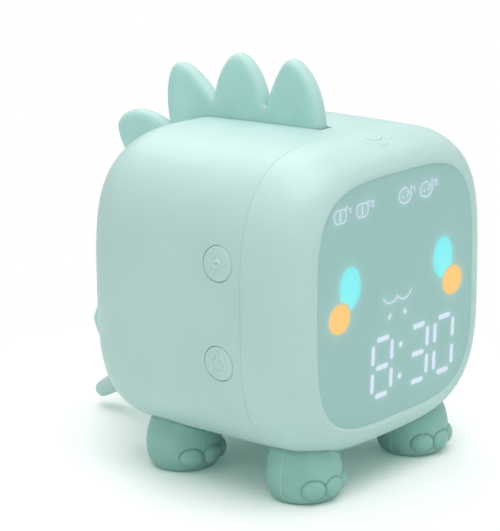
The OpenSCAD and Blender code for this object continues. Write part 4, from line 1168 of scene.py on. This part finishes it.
# middle in y, width share and strength of the painted highlight on the parting line
BOOTS = {"front": (-27.9, 1.0, 1.0), "rear": (20.5, 1.03, 0.4)}


def boot_form(form, middle_x, middle_y, toe_height, groove_depth, wide, seam):
    """Round boot with three toes at its front and a fine parting line over its sides; its shade values are
    painted shade (above 0) and painted highlight (below 0).
    """
    angles = np.linspace(-180, 180, 240, endpoint=False)
    # closer together at the toes, and right beside the parting line
    angles = angles - 0.558 * 180 / math.pi * np.sin(np.radians(angles))
    angles = np.sort(np.r_[angles, [s * 90 + d for s in (-1, 1) for d in (-2, -1.2, -0.6, 0, 0.6, 1.2, 2)]])
    a = np.radians(angles)
    size = len(a)
    slope = unit(np.gradient(BOOT_PROFILE, axis=0))
    rings, shades = [], []
    for (radius, z), (up_r, up_z) in zip(BOOT_PROFILE, slope):
        lift, groove, shade = np.zeros(size), np.zeros(size), np.zeros(size)
        for toe in np.radians(TOE_ANGLES):
            q = np.hypot(BOOT_R * (a - toe) / TOE_HALF[0], (z - TOE_Z) / TOE_HALF[1])
            lift = np.maximum(lift, toe_height * np.clip(1 - q ** 2.2, 0, 1) ** 0.62)
            line = np.exp(-((q - 1.05) / 0.06) ** 2)
            groove = np.maximum(groove, line)
            # painted shade in the groove round each toe, stronger higher up, and a painted highlight over the
            # toe itself
            shade = np.maximum(shade, line * (0.25 + 0.75 * eased(z, 2.5, 7)))
            shade -= 0.3 * (1 - eased(q, 0.5, 1)) * eased(z, 2, 7)
        parting = np.exp(-(np.abs(angles) - 90) ** 2) * (lift < 0.05)
        rise = lift - groove_depth * groove * (lift < 0.05) + 0.16 * parting
        reach = radius * wide + rise * up_z
        x, y = middle_x + reach * np.sin(a), middle_y - reach * np.cos(a)
        rings.append(np.c_[x, y, np.maximum(z - rise * up_r, 0) - CASE_Z])
        # painted shadow gathers where the boot meets the case, and a painted highlight runs along the parting
        # line below that
        below = CASE_Z - form.under_z(x, y) - z
        shade = np.maximum(shade, 1.3 * (1 - eased(below, 0.1, 1.1)))
        shades.append(shade - seam * parting * eased(below, 0.5, 1.5))
    start, end = ([middle_x, middle_y, z - CASE_Z] for z in (0, BOOT_TOP))
    return *with_poles(rings, start, end), np.r_[np.concatenate(shades), 0, 0]


def button_x(form, y, z, off, proud=BUTTON_PROUD):
    """Reach of a button's domed face at a distance off its middle."""
    return form.side_x(y, z) + proud - 0.12 * (off / BUTTON_R) ** 2


def button_form(form, side, middle_y, middle_z, edge=0.45, depth=2.6):
    """Push cap whose face follows the side of the case."""
    a = circle(96)
    rows = [(r, 0.0) for r in (0.6, 1.2, 1.8, 2.4, 3.0, 3.6, 4.2, 4.7, 5.0)]
    turns = np.radians((20, 45, 68, 90))
    rows += [(BUTTON_R - edge + edge * math.sin(t), edge * (1 - math.cos(t))) for t in turns]
    rows += [(BUTTON_R, depth), (BUTTON_R - 1.2, depth)]
    rings = []
    for r, drop in rows:
        y, z = middle_y + r * np.cos(a), middle_z + r * np.sin(a)
        rings.append(np.c_[side * (button_x(form, y, z, r) - drop), y, z])
    top = button_x(form, middle_y, middle_z, 0)
    start, end = ([side * x, middle_y, middle_z] for x in (top, top - 2.8))
    return with_poles(rings, start, end)


def on_side(form, side, middle, points):
    """Lays a drawing made at y 0 on the face of a button; its x runs towards the back on the left side."""
    across, drop, up = points.T
    y, z = middle[0] + side * across, middle[1] + up
    return np.c_[side * (button_x(form, y, z, np.hypot(across, up)) - drop), y, z]


def button_symbol(kind):
    """Raised lines of a button's symbol, as (path, width, closed), apart from the sun's dots."""
    if kind == "light":
        return [(oval(1.15, 1.15, count=24), 0.75, True)]
    if kind == "power":
        return [(arc(0, 0, 2.6, 2.6, 118, 422, 40), 0.75, False), (stroke((0, 2.9), (0, 0.5)), 0.75, False)]
    lines = [(stroke((-2.4, 0), (2.4, 0)), 0.85, False)]
    if kind == "plus":
        lines.append((stroke((0, -2.4), (0, 2.4)), 0.85, False))
    return lines


# ---------------------------------------------------------------- operators
class CLOCK_OT_finishes(bpy.types.Operator):
    """Makes the finishes and gives every solid piece its own"""

    bl_idname = "clock.finishes"
    bl_label = "Finishes"

    def execute(self, context):
        c = context.scene.clock_colours
        made = inner_finishes()
        made["case_front"] = case_finish("front shell plastic", c.case)
        made["case_rear"] = case_finish("rear shell plastic", shaded(c.case, 0.985))
        made["button_left"] = case_finish("left button plastic", c.case)
        made["button_right"] = case_finish("right button plastic", c.case)
        made["tail"] = case_finish("tail plastic", c.case)
        made["panel"] = panel_finish("lit face panel", c.panel)
        made["crest"] = crest_finish("crest silicone", c.crest)
        made["boot"] = boot_finish("boot rubber", c.boots)
        # a paler copy of the case plastic for the raised symbols: painted highlight standing for light
        # catching their relief
        case_finish("raised mark plastic", shaded(c.case, 1.07))
        light_finish("lit bars", c.digits)
        slots = {s["node"]: s["material_slot"] for s in frame["record"]["subparts"]}
        for node, obj in frame["nodes"].items():
            obj.data.materials.clear()
            obj.data.materials.append(made[slots[node]])
        return {"FINISHED"}


class CLOCK_OT_front_shell(bpy.types.Operator):
    """Front shell with its rim round the face, and the raised touch mark on its top edge"""

    bl_idname = "clock.front_shell"
    bl_label = "Front shell"

    def execute(self, context):
        shell = build("front_shell_skin", *front_shell_form(CaseForm()), "front shell plastic")
        tree = BVHTree.FromObject(shell, context.evaluated_depsgraph_get())

        def on_top(drawn):
            laid = []
            for x, y, z in drawn:
                above = Vector(to_frame((TOUCH_WIDE * x, TOUCH_Y - TOUCH_LONG * z, 70)))
                hit, normal, _, _ = tree.ray_cast(above, Vector((0, 0, -1)))
                laid.append(np.array(hit) / MM - (0, CASE_Y, CASE_Z) - np.array(normal) * y)
            return np.array(laid)

        # a fingertip with three short rays
        lines = [(np.r_[[(-3.2, -4.6)], arc(0, 0, 3.2, 3.4, 180, 0), [(3.2, -4.6)]], 0.7, False)]
        lines += [(arc(0, 0, 5.4, 5.4, a - 14, a + 14, 10), 0.7, False) for a in (30, 90, 150)]
        mark = build("touch_mark", *beads(lines, 0.18, 0.1, on_top), "front shell plastic")
        settle(shell, "case", "case_front", "front_shell")
        settle(mark, "case", "case_front")
        return {"FINISHED"}


class CLOCK_OT_rear_shell(bpy.types.Operator):
    """Rear shell with its slot, holes, screw wells and grille, and the screws in their wells"""

    bl_idname = "clock.rear_shell"
    bl_label = "Rear shell"

    def execute(self, context):
        shell = build("rear_shell_skin", *rear_shell_form(CaseForm()), "rear shell plastic")
        # the crest's slot, the button holes, the screw wells and the charging inlet
        tools = [band(-0.9, 58, low=-6.5, high=7.5, half=2.95, step=1.0, chamfer=0.2)]
        for kind in BUTTONS:
            x, y, z = middle_of(kind + "_button")
            side = math.copysign(1, x)
            hole = turned(((BUTTON_HOLE_R, 0), (BUTTON_HOLE_R, side * 9)), 96, 0)
            tools.append(moved(hole, side * 45, y, z))
        for x, z in WELLS:
            tools.append(moved(turned(((WELL_R, 0), (WELL_R, WELL_BACK)), 64, 1), x, WELL_Y, z))
        tools.append(prism(oval(5.2, 2.3, 4.0, 64) + (INLET_X, INLET_Z), 36.0, 47.0))
        carve(shell, build("shell_tools", *joined(tools)))
        sizes = {"Spacing": 4 * MM, "Hole": 2 * MM, "Depth": 12 * MM}
        carve(shell, grille_tools().grow("grille_tools", [(0, 4, -48)], "rear shell plastic", 40, **sizes))
        settle(shell, "case", "case_rear", "rear_shell")
        self.screws()
        return {"FINISHED"}

    def screws(self):
        """Pan heads with a cross recess, one in each well of the back."""
        rows = ((0.0001, 0.0), (2.4, 0.0), (2.4, 0.7), (2.1, 1.35), (1.5, 1.65), (0.8, 1.75), (0.0001, 1.78))
        head = part_object("screw_head", turned(rows, 48, 1), "plated steel", 50)
        for half_x, half_z in ((1.5, 0.26), (0.26, 1.5)):
            slot = np.array([(-half_x, -half_z), (half_x, -half_z), (half_x, half_z), (-half_x, half_z)])
            carve(head, part_object("cross_tool", prism(slot, 1.0, 3.0)), 50)
        turns = [(0, math.radians(t), 0) for t in (12, 50, 78, 31)]
        spots = [(x, WELL_Y - 0.1, z) for x, z in WELLS]
        heads = scatter("well_screws", head, spots, "plated steel", 50, turns)
        settle(heads, "case", "steel")


class CLOCK_OT_face(bpy.types.Operator):
    """Lit face panel with its digits, smile and small symbols"""

    bl_idname = "clock.face"
    bl_label = "Face"

    def execute(self, context):
        s = context.scene.clock_face
        points, faces, glow = panel_form(context.scene.clock_colours, s.hour, s.minute)
        panel = build("face_panel_skin", points, faces, "lit face panel", attributes={"glow": glow})
        settle(panel, "case", "panel", "face_panel")
        front, width = mm(s.front), mm(s.bar)
        bar = bead([(-2.15, 0), (0, 0), (2.15, 0)], width, 0.05, 0.04, tip=1.8 / width)
        places = bar_places(s.hour, s.minute)
        spots, turns = zip(*(((x, front, z), (0, -turn, 0)) for x, z, turn in places))
        bars = scatter("lit_digits", part_object("lamp_bar", bar, "lit bars"), spots, "lit bars", 40, turns)
        settle(bars, "case", "panel")
        lines = beads(face_lines(), 0.045, 0.04, lambda drawn: drawn + (0, front, 0))
        settle(build("lit_symbols", *lines, "lit bars"), "case", "panel")
        return {"FINISHED"}


class CLOCK_OT_crest(bpy.types.Operator):
    """Soft crest of seven spines, and the tail that carries its lower end"""

    bl_idname = "clock.crest"
    bl_label = "Crest and tail"

    def execute(self, context):
        s = context.scene.clock_crest
        points, faces, edge = pillow(crest_outline(), mm(s.thickness) / 2, mm(s.edge))
        flange = band(*S_FLANGE, ROOT, 0.12, 4.5)
        foot = band(0, S_CORNER + 1, ROOT, -2.3, 4.5)
        solid, every = joined([(points, faces), flange, foot])
        # edge, near 1 at the spines' outline, carries the crest finish's painted edge light; the flange and
        # foot get none
        edge = np.r_[edge, np.zeros(len(solid) - len(edge))]
        crest = build("crest_skin", solid, every, "crest silicone", 50, {"edge": edge})
        settle(crest, "case", "crest", "crest")

        def taper(flat):
            return 1 - 0.36 * np.clip((flat[:, 0] - BACK_Y) / 31.4, 0, 1)

        points, faces, _ = pillow(tail_outline(), mm(s.tail_width) / 2, mm(s.tail_edge), 0.8, 1.8, taper)
        settle(build("tail_skin", points, faces, "tail plastic", 50), "case", "tail", "tail")
        return {"FINISHED"}


class CLOCK_OT_boots(bpy.types.Operator):
    """Four soft boots, each with three toes"""

    bl_idname = "clock.boots"
    bl_label = "Boots"

    def execute(self, context):
        s = context.scene.clock_boots
        form = CaseForm()
        for end, (middle_y, wide, seam) in BOOTS.items():
            for side in ("left", "right"):
                node = f"{end}_{side}_boot"
                points, faces, shade = boot_form(
                    form, middle_of(node)[0], middle_y, mm(s.toe_height), mm(s.groove), wide, seam)
                boot = build(node + "_skin", points, faces, "boot rubber", attributes={"shade": shade})
                settle(boot, "case", "boot", node)
        return {"FINISHED"}


class CLOCK_OT_buttons(bpy.types.Operator):
    """Four push buttons with their raised symbols"""

    bl_idname = "clock.buttons"
    bl_label = "Buttons"

    def execute(self, context):
        form = CaseForm()
        for kind in BUTTONS:
            middle = middle_of(kind + "_button")
            side, name = (-1, "left") if middle[0] < 0 else (1, "right")
            middle = middle[1:]
            body, slot = kind + "_key", "button_" + name
            cap = build(kind + "_cap", *button_form(form, side, *middle), name + " button plastic")
            settle(cap, body, slot, kind + "_button")
            mark = beads(button_symbol(kind), 0.38, 0.1, lambda drawn: on_side(form, side, middle, drawn))
            # the raised symbols take the paler plastic, a painted highlight
            settle(build(kind + "_mark", *mark, "raised mark plastic"), body, slot)
            if kind == "light":
                settle(self.rays(form, side, middle), body, slot)
        return {"FINISHED"}

    def rays(self, form, side, middle):
        """Eight dots round the sun."""
        rows = ((0.42, 0.1), (0.42, 0.0), (0.36, -0.07), (0.22, -0.12))
        # the dots take the paler plastic, a painted highlight
        dot = part_object("ray_dot", turned(rows, 16, 0), "raised mark plastic")
        spots = []
        for t in circle(8):
            y, z = middle[0] + 2.7 * math.cos(t), middle[1] + 2.7 * math.sin(t)
            spots.append((side * (form.side_x(y, z) + BUTTON_PROUD - 0.03), y, z))
        return scatter("light_rays", dot, spots, "raised mark plastic")


class CLOCK_OT_stage(bpy.types.Operator):
    """Pale floor, soft lights and the camera"""

    bl_idname = "clock.stage"
    bl_label = "Stage"

    def execute(self, context):
        scene = context.scene
        self.floor(scene.clock_colours.floor)
        self.sky(scene)
        self.lamp("key above", (-0.15, -0.25, 0.95), 0.9, 5.85)
        self.lamp("back above", (0.3, 0.5, 0.9), 0.8, 3.2)
        self.camera(scene)
        scene.view_settings.view_transform = "Standard"
        return {"FINISHED"}

    def floor(self, colour):
        """Round floor whose colour fades to plain white away from the clock, with a painted greenish light
        that lifts its shadow near the clock.
        """
        a = circle(96)
        radii = (0.05, 0.2, 0.4, 0.8, 2.0, 6.0)
        points = [(r * math.cos(t), r * math.sin(t), 0) for r in radii for t in a] + [(0, 0, 0)]
        faces = [face[::-1] for face in ring_faces(len(radii), 96)] + fan(0, 96, len(points) - 1)
        mesh = bpy.data.meshes.new("floor")
        mesh.from_pydata(points, [], faces)
        f = Finish("studio floor")
        tone = f.mix(f.noise(60) * 0.15, colour, shaded(colour, 0.985))
        seen = f.seen()
        shader = f.node("ShaderNodeBsdfPrincipled", {}, {
            # light bouncing off the floor is tinted green; the camera sees the floor's own tone
            "Base Color": f.mix(seen, (0.86, 0.92, 0.89), tone),
            "Roughness": 0.9,
            "Specular IOR Level": 0.0,
            # painted light: a greenish glow, seen by the camera only, that lifts the clock's shadow on the
            # floor
            "Emission Color": f.mix(seen, (0, 0, 0), (0.04, 0.11, 0.09)),
            "Emission Strength": 1.0,
        })
        spread = f.node("ShaderNodeVectorMath", {"operation": "LENGTH"}, {0: f.place()}, "Value")
        whole = f.white_where(spread.step(0.06, 0.15) * seen, shader, "ShaderNodeEmission")
        # from below the floor is clear, so that the underside can be looked at
        below = f.node("ShaderNodeNewGeometry", {}, {}, "Backfacing") * seen
        clear = f.node("ShaderNodeBsdfTransparent", {}, {})
        mesh.materials.append(f.end_with(f.node("ShaderNodeMixShader", {}, {0: below, 1: whole, 2: clear})))
        return new_object("floor", mesh)

    def sky(self, scene):
        """Even light from all round, seen as white."""
        f = Finish("studio", "World")
        light = f.node("ShaderNodeBackground", {}, {"Color": (0.99, 0.985, 0.985, 1), "Strength": 0.487})
        scene.world = f.end_with(f.white_where(f.seen(), light, "ShaderNodeBackground"))

    def lamp(self, name, place, size, power):
        """Soft round lamp aimed at the middle of the clock."""
        data = bpy.data.lights.new(name, "AREA")
        data.shape = "DISK"
        data.size = size
        data.energy = power
        obj = new_object(name, data)
        obj.location = place
        obj.rotation_euler = (Vector((0, 0, 0.05)) - Vector(place)).to_track_quat("-Z", "Y").to_euler()

    def camera(self, scene):
        """Camera in front of the left corner, a little above the clock."""
        azimuth, elevation, roll = (math.radians(v) for v in (-51.05, 14.87, -0.36))
        picture_w, picture_h, focal = 500, 531, 2380.2
        distance, middle_px = 0.7464, (289.02, 272.70)
        level = math.cos(elevation)
        back = Vector((math.sin(azimuth) * level, -math.cos(azimuth) * level, math.sin(elevation)))
        right = Vector((math.cos(azimuth), math.sin(azimuth), 0))
        up = back.cross(right)
        axes = Matrix((math.cos(roll) * right + math.sin(roll) * up,
                       math.cos(roll) * up - math.sin(roll) * right, back)).transposed()
        data = bpy.data.cameras.new("camera")
        data.sensor_fit = "VERTICAL"
        data.sensor_height = 36.0
        data.lens = focal / picture_h * data.sensor_height
        data.shift_x = (picture_w / 2 - middle_px[0]) / picture_h
        data.shift_y = (middle_px[1] - picture_h / 2) / picture_h
        obj = new_object("camera", data)
        middle = Vector((0, CASE_Y * MM, CASE_Z * MM))
        obj.matrix_world = Matrix.Translation(middle + back * distance) @ axes.to_4x4()
        scene.camera = obj


OPERATORS = (
    CLOCK_OT_finishes,
    CLOCK_OT_front_shell,
    CLOCK_OT_rear_shell,
    CLOCK_OT_face,
    CLOCK_OT_crest,
    CLOCK_OT_boots,
    CLOCK_OT_buttons,
    CLOCK_OT_stage,
)
GROUPS = {
    "clock_case": ClockCaseSizes,
    "clock_face": ClockFaceSizes,
    "clock_crest": ClockCrestSizes,
    "clock_boots": ClockBootSizes,
    "clock_colours": ClockColours,
}


class CLOCK_PT_panel(bpy.types.Panel):
    """Lists the makers of the pieces and their sizes"""

    bl_idname = "CLOCK_PT_panel"
    bl_label = "Alarm Clock"
    bl_space_type = "VIEW_3D"
    bl_region_type = "UI"
    bl_category = "Alarm Clock"

    def draw(self, context):
        for maker in OPERATORS:
            self.layout.operator(maker.bl_idname)
        for name, group in GROUPS.items():
            box = self.layout.box()
            for key in group.__annotations__:
                box.prop(getattr(context.scene, name), key)


def register():
    for name, group in GROUPS.items():
        bpy.utils.register_class(group)
        setattr(bpy.types.Scene, name, PointerProperty(type=group))
    for maker in OPERATORS:
        bpy.utils.register_class(maker)
    bpy.utils.register_class(CLOCK_PT_panel)


def unregister():
    bpy.utils.unregister_class(CLOCK_PT_panel)
    for maker in reversed(OPERATORS):
        bpy.utils.unregister_class(maker)
    for name, group in GROUPS.items():
        delattr(bpy.types.Scene, name)
        bpy.utils.unregister_class(group)


def main():
    register()
    for maker in OPERATORS:
        group, name = maker.bl_idname.split(".")
        getattr(getattr(bpy.ops, group), name)()


if __name__ == "__main__":
    main()
